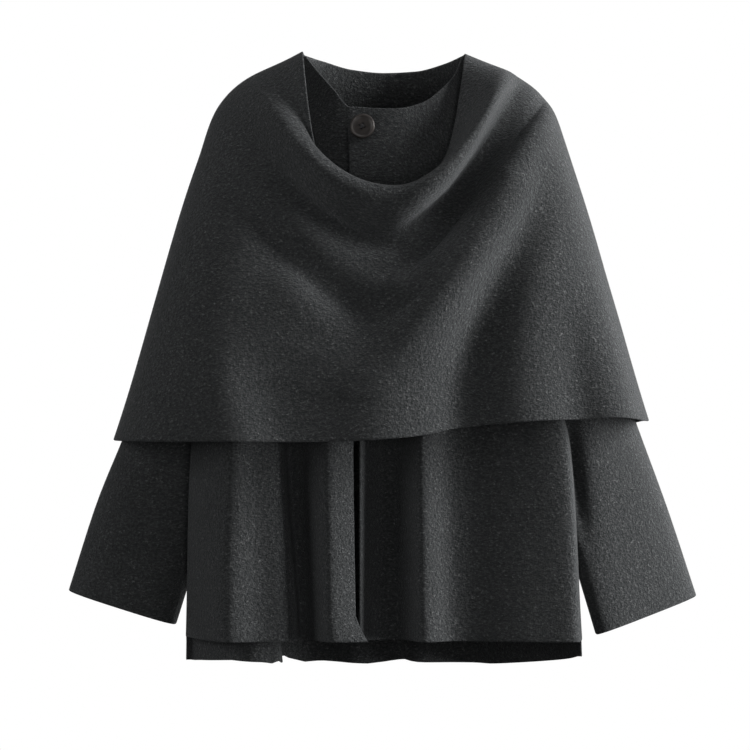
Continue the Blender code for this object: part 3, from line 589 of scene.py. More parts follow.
# %% Creases of the sleeves
SLEEVE_LEFT_CREASES = {
    "hollow along the inner side": (
        CreasePoint(205, 415, -8, 15, 15),
        CreasePoint(211, 460, -11, 13, 13),
        CreasePoint(218, 515, -7, 11, 11),
        CreasePoint(224, 555, 0, 10, 10),
    ),
}
SLEEVE_BACK_CREASES = {
    "slack above the elbow": (
        CreasePoint(188, 330, 0, 12, 12),
        CreasePoint(216, 352, 5, 14, 14),
        CreasePoint(246, 358, 4, 14, 14),
        CreasePoint(272, 350, 0, 12, 12),
    ),
    "long fall behind the arm": (
        CreasePoint(232, 380, 0, 14, 14),
        CreasePoint(254, 470, 5, 16, 16),
        CreasePoint(280, 560, 5, 18, 18),
        CreasePoint(298, 640, 4, 18, 18),
    ),
    "slack below the elbow": (
        CreasePoint(204, 424, 0, 12, 12),
        CreasePoint(230, 446, -4, 13, 13),
        CreasePoint(262, 458, -3, 13, 13),
        CreasePoint(290, 452, 0, 12, 12),
    ),
}
print("sleeve creases:", ", ".join(SLEEVE_LEFT_CREASES | SLEEVE_BACK_CREASES))

# %% Make the sleeves


def make_sleeve(table, side):
    """A tube from the armhole to the cuff. Its columns go round so that they match both body panels."""
    angles = np.linspace(0, 2 * np.pi, 2 * ARMHOLE_STEPS, endpoint=False)
    stations = np.linspace(0, 1, SLEEVE_ROWS + 1) ** SLEEVE_CROWDING * (len(table) - 1)
    rings = smooth(np.arange(len(table)), np.array(table, float), stations)
    grid = np.array([sleeve_ring(ring, side, angles) for ring in rings])
    if side == LEFT:  # so that its columns run from left to right on the outside too
        grid = np.roll(grid[:, ::-1], 1, axis=1)
    return Cloth(grid, closed=True)


sleeve_right, sleeve_left = make_sleeve(SLEEVE_RIGHT, RIGHT), make_sleeve(SLEEVE_LEFT, LEFT)
sleeve_right.press(mirrored(SLEEVE_BACK_CREASES), facing=BEHIND)
sleeve_left.press(SLEEVE_LEFT_CREASES, facing=FRONT)
sleeve_left.press(SLEEVE_BACK_CREASES, facing=BEHIND)
print("sleeve cut to:", sleeve_right.cut_size(), sleeve_left.cut_size())

# %% [markdown]
# ## Neck, chest and ribs
#
# The neck line is cut as one smooth curve in each panel, and the fronts lap over each other below it. From
# there to the waist the cape hides the coat, so the body needs only two plain sections there, at the chest
# and at the ribs. A quarter of an oval, from the side seam to the centre, is enough for each.

# %% Neck line and plain sections
NeckPoint = namedtuple("NeckPoint", "x y down")
NECK_RIGHT_FRONT = (
    NeckPoint(-87, 8, 2.8),
    NeckPoint(-74, -24, 21),
    NeckPoint(-56, -50, 43),
    NeckPoint(-36, -60, 65),
    NeckPoint(-8, -66, 71),
    NeckPoint(20, -65, 69),
)
NECK_LEFT_FRONT = (
    NeckPoint(87, 8, 2.8),
    NeckPoint(80, -17, 22),
    NeckPoint(64, -43, 42),
    NeckPoint(40, -65, 60),
    NeckPoint(10, -78, 67),
    NeckPoint(-40, -70, 64),
)
NECK_BACK = (
    NeckPoint(-87, 8, 2.8),
    NeckPoint(-66, 45, 6),
    NeckPoint(-35, 66, 13),
    NeckPoint(0, 72, 16),
    NeckPoint(35, 66, 15),
    NeckPoint(66, 45, 9),
    NeckPoint(87, 8, 2.8),
)
# side, edge_r and edge_l place the side seam and the centre edges. round below 1 makes a quarter squarer.
Section = namedtuple(
    "Section", "down side_x side_y edge_r_x edge_r_y edge_l_x edge_l_y back_y round_f round_b"
)
CHEST = Section(213, 139, 0, 2, -89, -37, -97, 97, 0.85, 0.85)
RIBS = Section(300, 148, -36, -22, -95, -31, -108, 106, 0.9, 0.75)


def at_depth(line, down):
    return np.column_stack([line, np.full(len(line), -float(down))])


def neck_line(table, columns):
    points = np.array(table, float) * (1, 1, -1)
    dense = smooth(np.arange(len(points)), points, np.linspace(0, len(points) - 1, FINE))
    return evenly(dense, columns)


def quarter(side, edge, roundness, count):
    """A plain quarter section from the side seam to the centre, in x and y."""
    angle = np.linspace(0, np.pi / 2, FINE)
    x = edge[0] + (side[0] - edge[0]) * np.cos(angle) ** roundness
    y = side[1] + (edge[1] - side[1]) * np.sin(angle) ** roundness
    return evenly(np.stack([x, y], axis=1), count)


def centre_edge(section, side):
    if side == RIGHT:
        return section.edge_r_x, section.edge_r_y
    return section.edge_l_x, section.edge_l_y


print("neck opening is", NECK_BACK[-1].x - NECK_BACK[0].x, "mm wide")

# %% [markdown]
# ## The folds
#
# Below the cape the fronts are gathered into deep folds, and these are what one sees of the coat. A cloth
# simulation would find its own folds, but not the ones in the photo. So each ridge, slope and valley is one
# row of a table, given at the waist and at the hem, and a curve through the rows is one section of
# the panel.

# %% Folds of the two fronts
Fold = namedtuple("Fold", "name waist_x waist_y hem_x hem_y")
FOLDS_RIGHT_FRONT = (
    Fold("side seam", -212, -52, -220, -20),
    Fold("side turn", -198, -78, -206, -58),
    Fold("flank", -182, -96, -188, -88),
    Fold("wide ridge", -165, -111, -168, -111),
    Fold("ridge slope", -142, -101, -140, -101),
    Fold("sharp edge", -114, -89, -102, -87),
    Fold("tuck", -110, -72, -98, -70),
    Fold("deep valley", -100, -62, -92, -58),
    Fold("valley side", -88, -70, -81, -67),
    Fold("second rise", -76, -92, -70, -92),
    Fold("second ridge", -63, -109, -59, -111),
    Fold("ridge slope end", -48, -104, -44, -106),
    Fold("centre edge", -34, -97, -31, -98),
)
FOLDS_LEFT_FRONT = (
    Fold("side seam", 204, -50, 219, -25),
    Fold("side turn", 201, -82, 216, -84),
    Fold("flank", 200, -108, 211, -108),
    Fold("broad bulge", 174, -106, 186, -105),
    Fold("bulge middle", 146, -100, 152, -101),
    Fold("bulge end", 118, -94, 122, -94),
    Fold("shallow valley", 90, -88, 94, -87),
    Fold("ridge side", 72, -89, 77, -88),
    Fold("ridge far side", 56, -98, 60, -99),
    Fold("tall ridge", 39, -107, 42, -109),
    Fold("steep side", 27, -86, 31, -86),
    Fold("deep valley", 14, -62, 16, -60),
    Fold("valley side", 0, -63, 0, -60),
    Fold("rise", -15, -80, -16, -75),
    Fold("centre edge", -27, -96, -27, -95),
)
WAIST_DOWN = 432
FRONT_HEM_DOWN = 651
FOLD_SOFTENING = 7


def fold_line(folds, level, columns):
    """The section through the folds at the waist or the hem, as x and y."""
    points = np.array([fold[1 + 2 * level : 3 + 2 * level] for fold in folds], float)
    line = smooth(np.arange(len(points)), points, np.linspace(0, len(points) - 1, columns + 1))
    for _ in range(FOLD_SOFTENING):  # thick cloth has no corners
        line[1:-1] = (line[:-2] + 2 * line[1:-1] + line[2:]) / 4
    return line


print("rows of folds:", len(FOLDS_RIGHT_FRONT), "on the right,", len(FOLDS_LEFT_FRONT), "on the left")

# %% [markdown]
# ## From section to panel
#
# A panel hangs from its top line, which is the shoulder seam and the neck line, to the chest. On the way
# its side has to follow the armhole, which `hang` adds with a weight that dies away towards the middle.
# Below the chest the rows go smoothly through the ribs, the waist and the hem.

# %% Hang and loft
FRONT_COLUMNS = 18 * FINER
SHOULDER_COLUMNS = 6 * FINER
BODY_STEPS = (3, 4, 4)  # plain grid rows from chest to ribs, to waist and to hem
FRONT_REACH, BACK_REACH = 0.6, 0.4  # the share of a panel's width over which its armhole still shapes it


def hang(top, bottom, reach, left, right=None):
    """A surface from a top line straight down to a bottom line, drawn out at its ends to meet the side lines.

    reach is the share of the width over which a side line still shows."""
    v = np.linspace(0, 1, len(left))[:, None, None]
    grid = (1 - v) * top[None] + v * bottom[None]
    u = np.linspace(0, 1, len(top))[None, :, None]
    for line, column, away in ((left, 0, u), (right, -1, 1 - u)):
        if line is not None:
            grid = grid + (line - grid[:, column])[:, None] * np.clip(1 - away / reach, 0, 1) ** 2
    return grid


def loft_down(levels, below_chest):
    """Rows from the chest down through the lower sections, leaving out the chest's own row."""
    stations = stations_of(BODY_STEPS)[1:]
    rows = smooth(np.arange(len(levels)), np.array(levels), stations)
    return np.concatenate([below_chest, rows])


print("rows from the chest to the hem:", sum(BODY_STEPS) * FINER)

# %% [markdown]
# ## The two fronts
#
# Both fronts are made in the same way from their own tables. The right one ends in a corner that has turned
# out towards the other front, and its wide ridge stands out with a full, rounded edge.

# %% Make the fronts
CORNER_TURN_ACROSS, CORNER_TURN_FORWARD = 13, 4  # how far the right front's hem corner is turned out
CORNER_REACH_ACROSS, CORNER_REACH_UP = 34, 24  # how far the turn reaches
CORNER_TURN_POWER = 1.5
COAT_FRONT_CREASES = {
    "full edge of the wide ridge": (
        CreasePoint(-122, 380, 0, 9, 18),
        CreasePoint(-121, 440, 5, 9, 18),
        CreasePoint(-115, 520, 7, 9, 18),
        CreasePoint(-108, 600, 8, 9, 19),
        CreasePoint(-105, 700, 9, 9, 20),
    ),
    "slack over the flank": (
        CreasePoint(-196, 470, 0, 14, 14),
        CreasePoint(-184, 540, 3, 15, 15),
        CreasePoint(-180, 640, 3, 16, 16),
    ),
}


def turn_corner(grid):
    """Turns the lower centre corner of a front out towards the other front."""
    corner = grid[-1, -1]
    across, up = corner[0] - grid[..., 0], grid[..., 2] - corner[2]
    near = np.clip(1 - across / CORNER_REACH_ACROSS, 0, 1) ** CORNER_TURN_POWER
    share = near * np.clip(1 - up / CORNER_REACH_UP, 0, 1)
    return grid + share[..., None] * (CORNER_TURN_ACROSS, -CORNER_TURN_FORWARD, 0)


def make_front(side, folds, neck):
    """One front panel, with columns from its side seam to its centre edge."""
    arm = armhole(side, FRONT_ANGLES)
    neck_point = np.array(neck[0], float) * (1, 1, -1)
    shoulder = np.linspace(arm[0], neck_point, SHOULDER_COLUMNS + 1)
    top = np.concatenate([shoulder[:-1], neck_line(neck, FRONT_COLUMNS - SHOULDER_COLUMNS)])
    sections = []
    for section, side_y in ((CHEST, arm[-1][1]), (RIBS, RIBS.side_y)):
        seam = (side * section.side_x, side_y)
        line = quarter(seam, centre_edge(section, side), section.round_f, FRONT_COLUMNS)
        sections.append(at_depth(line, section.down))
    chest, ribs = sections
    waist = at_depth(fold_line(folds, 0, FRONT_COLUMNS), WAIST_DOWN)
    hem = at_depth(fold_line(folds, 1, FRONT_COLUMNS), FRONT_HEM_DOWN)
    return loft_down([chest, ribs, waist, hem], hang(top, chest, FRONT_REACH, arm))


front_right = Cloth(turn_corner(make_front(RIGHT, FOLDS_RIGHT_FRONT, NECK_RIGHT_FRONT)))
front_left = Cloth(make_front(LEFT, FOLDS_LEFT_FRONT, NECK_LEFT_FRONT)[:, ::-1])
front_right.press(COAT_FRONT_CREASES)
print("fronts cut to:", front_right.cut_size(), front_left.cut_size())

# %% [markdown]
# ## The back
#
# The back panel goes round the body from side seam to side seam, and it is longer than the fronts, so that
# a strip of it shows below them. Its side seams are the fronts' own. No cut hem is quite level when it
# hangs, and a short table lowers this one by a few millimetres here and there.

# %% Folds and hem of the back
FOLDS_BACK = (
    FOLDS_RIGHT_FRONT[0],
    Fold("right crest", -205, -47, -213, -15),
    Fold("right side turn", -190, -69, -196, -48),
    Fold("right flank", -169, -85, -172, -77),
    Fold("right front ridge", -152, -90, -146, -96),
    Fold("right turn", -148, -62, -114, -88),
    Fold("right side front", -147, -22, -119, -36),
    Fold("right side", -147, 30, -134, 22),
    Fold("right corner", -122, 79, -122, 80),
    Fold("right back ridge", -76, 101, -84, 112),
    Fold("right back valley", -36, 98, -40, 92),
    Fold("middle back ridge", 0, 106, 0, 108),
    Fold("left back valley", 38, 98, 42, 92),
    Fold("left back ridge", 78, 101, 86, 112),
    Fold("left corner", 122, 79, 124, 86),
    Fold("left side", 146, 30, 150, 64),
    Fold("left side front", 147, -22, 174, 42),
    Fold("left turn", 149, -62, 191, 22),
    Fold("left front ridge", 160, -88, 202, 4),
    Fold("left flank", 177, -83, 209, -8),
    Fold("left side turn", 190, -66, 213, -14),
    Fold("left crest", 198, -45, 215, -18),
    FOLDS_LEFT_FRONT[0],
)
BACK_HEM_DOWN = 673
BACK_HEM_SAG = 17  # the back hem hangs this much lower in the middle
# How much lower again the back hem is, at distances across the body.
HemDrop = namedtuple("HemDrop", "across down")
BACK_HEM_WAVE = (
    HemDrop(-211, 4),
    HemDrop(-202, 2),
    HemDrop(-185, -1),
    HemDrop(-167, -4),
    HemDrop(-132, -5),
    HemDrop(-121, -4),
    HemDrop(-116, -8),
    HemDrop(-110, -4),
    HemDrop(-91, 1),
    HemDrop(-73, -1),
    HemDrop(-18, 1),
    HemDrop(0, -1),
    HemDrop(18, -4),
    HemDrop(30, -5),
    HemDrop(33, -2),
    HemDrop(46, -1),
    HemDrop(92, 2),
    HemDrop(119, 3),
    HemDrop(183, 1),
    HemDrop(220, 0),
)
TAIL_RUN_ON = 0.3  # the share of the last plain row's change that goes on below the front hem
BACK_COLUMNS = 36 * FINER
COAT_BACK_CREASES = {
    "long fall right of the middle": (
        CreasePoint(-40, 300, 0, 14, 14),
        CreasePoint(-44, 430, 6, 18, 18),
        CreasePoint(-52, 700, 8, 22, 22),
    ),
    "trough left of the middle": (
        CreasePoint(30, 330, 0, 14, 14),
        CreasePoint(36, 470, -6, 16, 16),
        CreasePoint(40, 700, -7, 20, 20),
    ),
    "left fall": (
        CreasePoint(92, 360, 0, 12, 12),
        CreasePoint(96, 500, 5, 16, 16),
        CreasePoint(104, 700, 6, 18, 18),
    ),
}
print("the back hem is", BACK_HEM_DOWN - FRONT_HEM_DOWN, "mm below the front hem at the sides")

# %% Make the back


def make_back():
    """The back panel, with columns from the wearer's right seam to the left one."""
    right_arm, left_arm = armhole(RIGHT, BACK_ANGLES), armhole(LEFT, BACK_ANGLES)
    neck = neck_line(NECK_BACK, BACK_COLUMNS - 2 * SHOULDER_COLUMNS)
    right = np.linspace(right_arm[0], neck[0], SHOULDER_COLUMNS + 1)[:-1]
    left = np.linspace(neck[-1], left_arm[0], SHOULDER_COLUMNS + 1)[1:]
    top = np.concatenate([right, neck, left])
    sections = []
    for section, side_y in ((CHEST, right_arm[-1][1]), (RIBS, RIBS.side_y)):
        half = quarter((-section.side_x, side_y), (0, section.back_y), section.round_b, BACK_COLUMNS // 2)
        whole = np.concatenate([half, half[-2::-1] * (-1, 1)])
        sections.append(at_depth(whole, section.down))
    chest, ribs = sections
    waist = at_depth(fold_line(FOLDS_BACK, 0, BACK_COLUMNS), WAIST_DOWN)
    hem = at_depth(fold_line(FOLDS_BACK, 1, BACK_COLUMNS), FRONT_HEM_DOWN)
    grid = loft_down([chest, ribs, waist, hem], hang(top, chest, BACK_REACH, right_arm, left_arm))
    return np.concatenate([grid, back_tail(grid)])


def back_tail(grid):
    """The rows of the back that hang below the front hem."""
    end = grid[-1] + (grid[-1] - grid[-1 - FINER]) * TAIL_RUN_ON
    sag = np.sin(np.linspace(0, np.pi, BACK_COLUMNS + 1)) ** 2
    end[:, 2] = -BACK_HEM_DOWN - BACK_HEM_SAG * sag
    end[:, 2] -= np.interp(end[:, 0], *zip(*BACK_HEM_WAVE))
    share = np.linspace(0, 1, FINER + 1)[1:, None, None]
    return grid[-1] + (end - grid[-1]) * share


coat_back = Cloth(make_back()[:, ::-1])
coat_back.press(COAT_BACK_CREASES, facing=BEHIND)
print("back cut to:", coat_back.cut_size())

# %% [markdown]
# ## The cape
#
# The cape has a front and a back, joined along the shoulders and down both arms. That seam is drawn first,
# since both pieces start from it. It follows the shoulder to the arm, falls over the sleeve and spreads
# towards the hem.

# %% The seam of the cape
CapeSeam = namedtuple("CapeSeam", "down out")
CAPE_SEAM = (
    CapeSeam(0, 90),
    CapeSeam(11, 115),
    CapeSeam(21, 139),
    CapeSeam(31, 157),
    CapeSeam(44, 173),
    CapeSeam(66, 189),
    CapeSeam(119, 207),
    CapeSeam(164, 222),
    CapeSeam(276, 254),
    CapeSeam(388, 286),
    CapeSeam(434, 301),
)
CAPE_SEAM_Y = (8, 5)  # at the neck point and at the hem


def cape_seam(down, side):
    rows = np.array(CAPE_SEAM, float)
    out = smooth(rows[:, 0], rows[:, 1], down)
    y = np.interp(down, (0, rows[-1, 0]), CAPE_SEAM_Y)
    return np.stack([side * out, y, -np.asarray(down, float)], axis=-1)


print("the cape is", 2 * CAPE_SEAM[-1].out, "mm wide at its hem")

# %% [markdown]
# ## How a line of the cape hangs
#
# Hold a long strip of wool by its ends and it hangs in a swag. The cape is made of such lines, each from
# shoulder seam to shoulder seam. An arm of a line runs from one seam to the lowest point. Two powers shape
# it: fall gives how it comes down, as a V at 1 and as a U above 1, and plan gives how full it is when seen
# from the top.

# %% One hanging line
LOW_POINT_ROUND = 0.2  # how much of each line's width its lowest point is rounded over
MIDDLE_SHARE = 0.6  # how much of each line's width it takes to pass from front_m to front_r or front_l
SEAM_CROWDING = 1.5  # above 1, points lie closer together at the seam


def rounded_power(share, power):
    """share ** power, but level at 0 whatever the power, so that two arms join without a corner."""
    lifted = (share**2 + LOW_POINT_ROUND**2) ** (power / 2) - LOW_POINT_ROUND**power
    return lifted / ((1 + LOW_POINT_ROUND**2) ** (power / 2) - LOW_POINT_ROUND**power)


def arm_of_line(seam, low, side_y, fall, plan, count):
    """Half of one hanging line, from the shoulder seam at seam to its lowest point at low."""
    angle = np.linspace(0, 1, FINE) ** SEAM_CROWDING * np.pi / 2
    share = np.cos(angle)  # 1 at the seam and 0 at the lowest point
    ease = np.clip(share / MIDDLE_SHARE, 0, 1)
    ease = ease * ease * (3 - 2 * ease)
    front = low[1] + (side_y - low[1]) * ease
    x = low[0] + (seam[0] - low[0]) * share
    y = seam[1] + (front - seam[1]) * (1 - share**plan) ** (1 / plan)
    z = low[2] + (seam[2] - low[2]) * rounded_power(share, fall)
    return evenly(np.stack([x, y, z], axis=1), count)


def cape_line(seams, low, side_y, falls, plans, columns):
    """One line from right to left. Each pair holds a value for the right and one for the left."""
    arms = []
    for side, seam, y, fall, plan in zip((RIGHT, LEFT), seams, side_y, falls, plans):
        start = cape_seam(np.array([seam]), side)[0]
        arms.append(arm_of_line(start, low, y, fall, plan, columns // 2))
    right, left = arms
    return np.concatenate([right, left[-2::-1]])


print("each arm of a line is worked out at", FINE, "points")

# %% [markdown]
# ## The lines of the front
#
# The cape's front is cut wide and high, so that its top falls into a cowl. Each row of the table is one
# line: where it leaves the seams, how low it sags and how far it stands forward. A loft through them gives
# the cowl, the swags below it and the fall to the hem. The hem is not quite level either, so a second table
# lifts it.

# %% Lines of the cape's front
CapeLine = namedtuple(
    "CapeLine",
    "name seam_r seam_l low_x low_down front_r front_m front_l fall_r fall_l plan_r plan_l steps",
)
CAPE_FRONT = (
    CapeLine("cut edge", 0, 0, -10, 168, -112, -108, -108, 5.5, 5.5, 5.0, 2.6, 2),
    CapeLine("inside of the cowl", 8, 7, 4, 166, -114, -120, -116, 3.4, 3.8, 3.4, 2.7, 1),
    CapeLine("cowl rim", 19, 17, 16, 152, -132, -136, -141, 2.3, 2.4, 2.4, 2.8, 1),
    CapeLine("swell of the rim", 25, 22, 12, 168, -146, -141, -150, 2.2, 1.9, 2.3, 2.8, 2),
    CapeLine("foot of the rim", 33, 29, 4, 199, -123, -112, -94, 1.95, 1.4, 2.4, 2.2, 2),
    CapeLine("first valley", 55, 40, 46, 229, -109, -109, -104, 1.9, 1.2, 2.4, 2.3, 2),
    CapeLine("second swag", 80, 50, 14, 261, -120, -123, -124, 1.75, 1.5, 2.4, 2.3, 2),
    CapeLine("second valley", 106, 57, 5, 294, -114, -114, -136, 1.7, 1.5, 2.7, 2.7, 2),
    CapeLine("third swag", 130, 68, 0, 326, -122, -123, -140, 1.6, 1.4, 3.0, 3.0, 3),
    CapeLine("belly", 250, 222, 6, 378, -131, -128, -132, 1.2, 1.0, 3.6, 3.6, 4),
    CapeLine("hem", 432, 411, 18, 432, -136, -134, -136, 1.0, 0.6, 3.8, 3.8, 0),
)
# How much higher the cape's front hem is than a plain fall between its seams, at distances across the body.
HemLift = namedtuple("HemLift", "across up")
CAPE_HEM_LIFT = (
    HemLift(-310, 0),
    HemLift(-60, 0),
    HemLift(1, 2),
    HemLift(53, 8),
    HemLift(78, 13),
    HemLift(105, 13),
    HemLift(149, 12),
    HemLift(193, 11),
    HemLift(237, 9),
    HemLift(270, 4),
    HemLift(300, 0),
    HemLift(310, 0),
)
CAPE_FRONT_COLUMNS = 44 * FINER
CAPE_SOFTENING = 5
line_steps = [line.steps for line in CAPE_FRONT[:-1]]
line_table = np.array([line[1:-1] for line in CAPE_FRONT], float)  # without the name and the steps
cape_rows = smooth(np.arange(len(line_table)), line_table, stations_of(line_steps))
print("the cape has", len(cape_rows), "rows")

# %% [markdown]
# ## Creases of the cape's front
#
# The swags run into long ridges and troughs that fan out from the left shoulder to the hem. They cross the
# lines of the loft at a slant, so they are pressed in afterwards. The fine ones lie on top of the broad
# ones.

# %% Broad creases of the cape's front
CAPE_FRONT_CREASES = {
    "fold at the foot of the cowl": (
        CreasePoint(-8, 204, 0, 12, 10),
        CreasePoint(14, 190, 6, 14, 9),
        CreasePoint(38, 170, 8, 14, 9),
        CreasePoint(62, 150, 7, 14, 9),
        CreasePoint(92, 116, 4, 13, 9),
        CreasePoint(124, 74, 0, 12, 9),
    ),
    "long ridge from the right hem to the shoulder": (
        CreasePoint(-4, 450, 11, 60, 48),
        CreasePoint(4, 365, 14, 55, 46),
        CreasePoint(24, 320, 16, 45, 42),
        CreasePoint(46, 275, 17, 34, 36),
        CreasePoint(64, 242, 16, 26, 32),
        CreasePoint(96, 186, 14, 20, 26),
        CreasePoint(132, 141, 14, 17, 20),
        CreasePoint(158, 96, 8, 15, 17),
        CreasePoint(174, 60, 0, 12, 16),
    ),
    "trough below the long ridge": (
        CreasePoint(82, 450, -15, 30, 44),
        CreasePoint(86, 365, -17, 30, 44),
        CreasePoint(97, 320, -19, 28, 40),
        CreasePoint(116, 275, -18, 25, 34),
        CreasePoint(134, 242, -16, 21, 27),
        CreasePoint(157, 200, -12, 17, 22),
        CreasePoint(174, 160, -6, 14, 18),
        CreasePoint(186, 125, 0, 12, 16),
    ),
    "ridge over the left forearm": (
        CreasePoint(160, 450, 2, 30, 28),
        CreasePoint(158, 365, 1, 28, 26),
        CreasePoint(166, 300, 0, 26, 24),
    ),
    "outer trough": (
        CreasePoint(220, 450, -11, 30, 36),
        CreasePoint(212, 380, -9, 28, 32),
        CreasePoint(204, 310, -4, 26, 24),
        CreasePoint(206, 260, 0, 22, 20),
    ),
    "outer ridge": (
        CreasePoint(262, 450, 10, 26, 22),
        CreasePoint(249, 380, 9, 25, 20),
        CreasePoint(236, 310, 5, 22, 18),
        CreasePoint(224, 250, 0, 20, 16),
    ),
    "ridge over the right forearm": (
        CreasePoint(-150, 450, 6, 40, 30),
        CreasePoint(-176, 365, 5, 40, 28),
        CreasePoint(-184, 300, 0, 36, 28),
    ),
    "hollow of the lap": (
        CreasePoint(-104, 450, -5, 34, 70),
        CreasePoint(-116, 380, -7, 34, 76),
        CreasePoint(-100, 330, 0, 34, 60),
    ),
    "patch under the second swag": (
        CreasePoint(-112, 236, 0, 20, 22),
        CreasePoint(-92, 268, 4, 24, 24),
        CreasePoint(-68, 294, 4, 26, 24),
        CreasePoint(-36, 312, 0, 24, 24),
    ),
}
print("broad creases:", len(CAPE_FRONT_CREASES))

# %% Fine creases of the cape's front
CAPE_FINE_CREASES = {
    "slack below the second swag": (
        CreasePoint(-128, 240, 0, 16, 34),
        CreasePoint(-104, 262, 4, 17, 40),
        CreasePoint(-78, 288, 5, 17, 42),
        CreasePoint(-46, 312, 3, 18, 36),
        CreasePoint(-20, 330, 0, 18, 30),
    ),
    "crest of the second swag": (
        CreasePoint(-114, 180, 0, 10, 12),
        CreasePoint(-92, 196, 4, 10, 12),
        CreasePoint(-70, 213, 4, 10, 12),
        CreasePoint(-48, 226, 2, 10, 12),
        CreasePoint(-24, 234, 2, 10, 12),
        CreasePoint(8, 233, 4, 10, 11),
        CreasePoint(34, 224, 0, 10, 11),
    ),
    "trough along the foot of the long ridge": (
        CreasePoint(128, 138, 0, 13, 10),
        CreasePoint(105, 168, -4, 14, 12),
        CreasePoint(83, 198, -6, 16, 14),
        CreasePoint(61, 222, -6, 17, 14),
        CreasePoint(38, 246, -3, 17, 14),
        CreasePoint(16, 262, 0, 16, 14),
    ),
    "crest of the long ridge": (
        CreasePoint(164, 140, 0, 11, 11),
        CreasePoint(149, 168, 3, 12, 11),
        CreasePoint(127, 201, 4, 12, 12),
        CreasePoint(105, 236, 3, 13, 13),
        CreasePoint(83, 278, 2, 14, 14),
        CreasePoint(61, 318, 0, 14, 14),
    ),
}
print("fine creases:", len(CAPE_FINE_CREASES))

# %% Make the cape's front


def lift_hem(grid, rows):
    """Raises the hem of the cape's front, and its last rows with it by less and less."""
    table = np.array(CAPE_HEM_LIFT, float)
    share = np.linspace(0, 1, rows + 1)[:, None] ** 2
    grid[-rows - 1 :, :, 2] += share * smooth(table[:, 0], table[:, 1], grid[-1, :, 0])
    return grid


def make_cape_front():
    lines = []
    for row in cape_rows:
        seam_r, seam_l, low_x, low_down, front_r, front_m, front_l, fall_r, fall_l, plan_r, plan_l = row
        low = np.array([low_x, front_m, -low_down])
        pairs = (front_r, front_l), (fall_r, fall_l), (plan_r, plan_l)
        lines.append(cape_line((seam_r, seam_l), low, *pairs, CAPE_FRONT_COLUMNS))
    front = Cloth(lift_hem(np.array(lines), line_steps[-1] * FINER))
    front.soften(CAPE_SOFTENING)
    front.press(CAPE_FRONT_CREASES | CAPE_FINE_CREASES)
    return front


cape_front = make_cape_front()
print("cape front cut to:", cape_front.cut_size())

# %% [markdown]
# ## The back of the cape
#
# The cape's back lies close over the coat's back and flares to its hem. Its top edge sits just outside the
# coat's neck line. It has the same rows as the front, so that the two meet point for point along their
# seams.

# %% Lines of the cape's back
BackLine = namedtuple("BackLine", "seam low_down back_y fall plan")
CAPE_BACK = (
    BackLine(0, 21, 75, 2.0, 2.2),
    BackLine(44, 75, 96, 2.0, 2.3),
    BackLine(119, 155, 114, 2.0, 2.4),
    BackLine(276, 300, 132, 2.0, 2.6),
    BackLine(434, 440, 146, 7.0, 2.8),
)
CAPE_BACK_COLUMNS = 20 * FINER
CAPE_EDGE_RISE = 1.0  # how far the cape's neck edge stands above the coat's
print("the cape's back stands", CAPE_BACK[-1].back_y - CAPE_BACK[0].back_y, "mm further back at the hem")

# %% Creases of the cape's back
CAPE_BACK_CREASES = {
    "middle back flare": (
        CreasePoint(-8, 450, 10, 48, 48),
        CreasePoint(-3, 300, 5, 44, 44),
        CreasePoint(0, 150, 0, 40, 40),
    ),
    "right back trough": (
        CreasePoint(-118, 450, -10, 34, 34),
        CreasePoint(-108, 300, -5, 34, 34),
        CreasePoint(-96, 150, 0, 34, 34),
    ),
    "right back flare": (
        CreasePoint(-205, 450, 9, 34, 34),
        CreasePoint(-188, 310, 4, 34, 34),
        CreasePoint(-170, 170, 0, 34, 34),
    ),
    "left back trough": (
        CreasePoint(112, 450, -9, 34, 34),
        CreasePoint(102, 300, -5, 34, 34),
        CreasePoint(92, 150, 0, 34, 34),
    ),
    "left back flare": (
        CreasePoint(198, 450, 9, 34, 34),
        CreasePoint(182, 310, 4, 34, 34),
        CreasePoint(165, 170, 0, 34, 34),
    ),
}
CAPE_BACK_FINE_CREASES = {
    "fall from the left shoulder blade": (
        CreasePoint(66, 96, 0, 16, 16),
        CreasePoint(74, 190, 4, 20, 18),
        CreasePoint(88, 300, 6, 24, 20),
        CreasePoint(96, 450, 8, 28, 22),
    ),
    "trough beside it": (
        CreasePoint(28, 150, 0, 18, 18),
        CreasePoint(36, 260, -4, 20, 20),
        CreasePoint(44, 450, -7, 24, 24),
    ),
    "fall from the right shoulder blade": (
        CreasePoint(-58, 84, 0, 16, 16),
        CreasePoint(-70, 170, 5, 18, 20),
        CreasePoint(-78, 300, 6, 20, 24),
        CreasePoint(-74, 450, 7, 22, 28),
    ),
    "slack across the right shoulder": (
        CreasePoint(-150, 96, 0, 14, 14),
        CreasePoint(-112, 130, 4, 15, 15),
        CreasePoint(-70, 146, 4, 15, 15),
        CreasePoint(-30, 150, 0, 14, 14),
    ),
    "outer left fall": (
        CreasePoint(150, 110, 0, 14, 14),
        CreasePoint(168, 230, 5, 18, 18),
        CreasePoint(182, 450, 7, 22, 22),
    ),
}
print("creases behind:", len(CAPE_BACK_CREASES | CAPE_BACK_FINE_CREASES))

# %% Make the cape's back


def neck_seat(ends):
    """The neck edge of the cape's back, just outside the coat's back neck line, between its two seams."""
    line = neck_line(NECK_BACK, CAPE_BACK_COLUMNS)
    along = np.gradient(line, axis=0)
    outward = unit(np.stack([-along[:, 1], along[:, 0], np.zeros(len(line))], axis=1))
    seat = (line + outward * (CLOTH + SEAM_GAP) + (0, 0, CAPE_EDGE_RISE))[::-1]
    seat[0], seat[-1] = ends[0], ends[-1]
    return seat


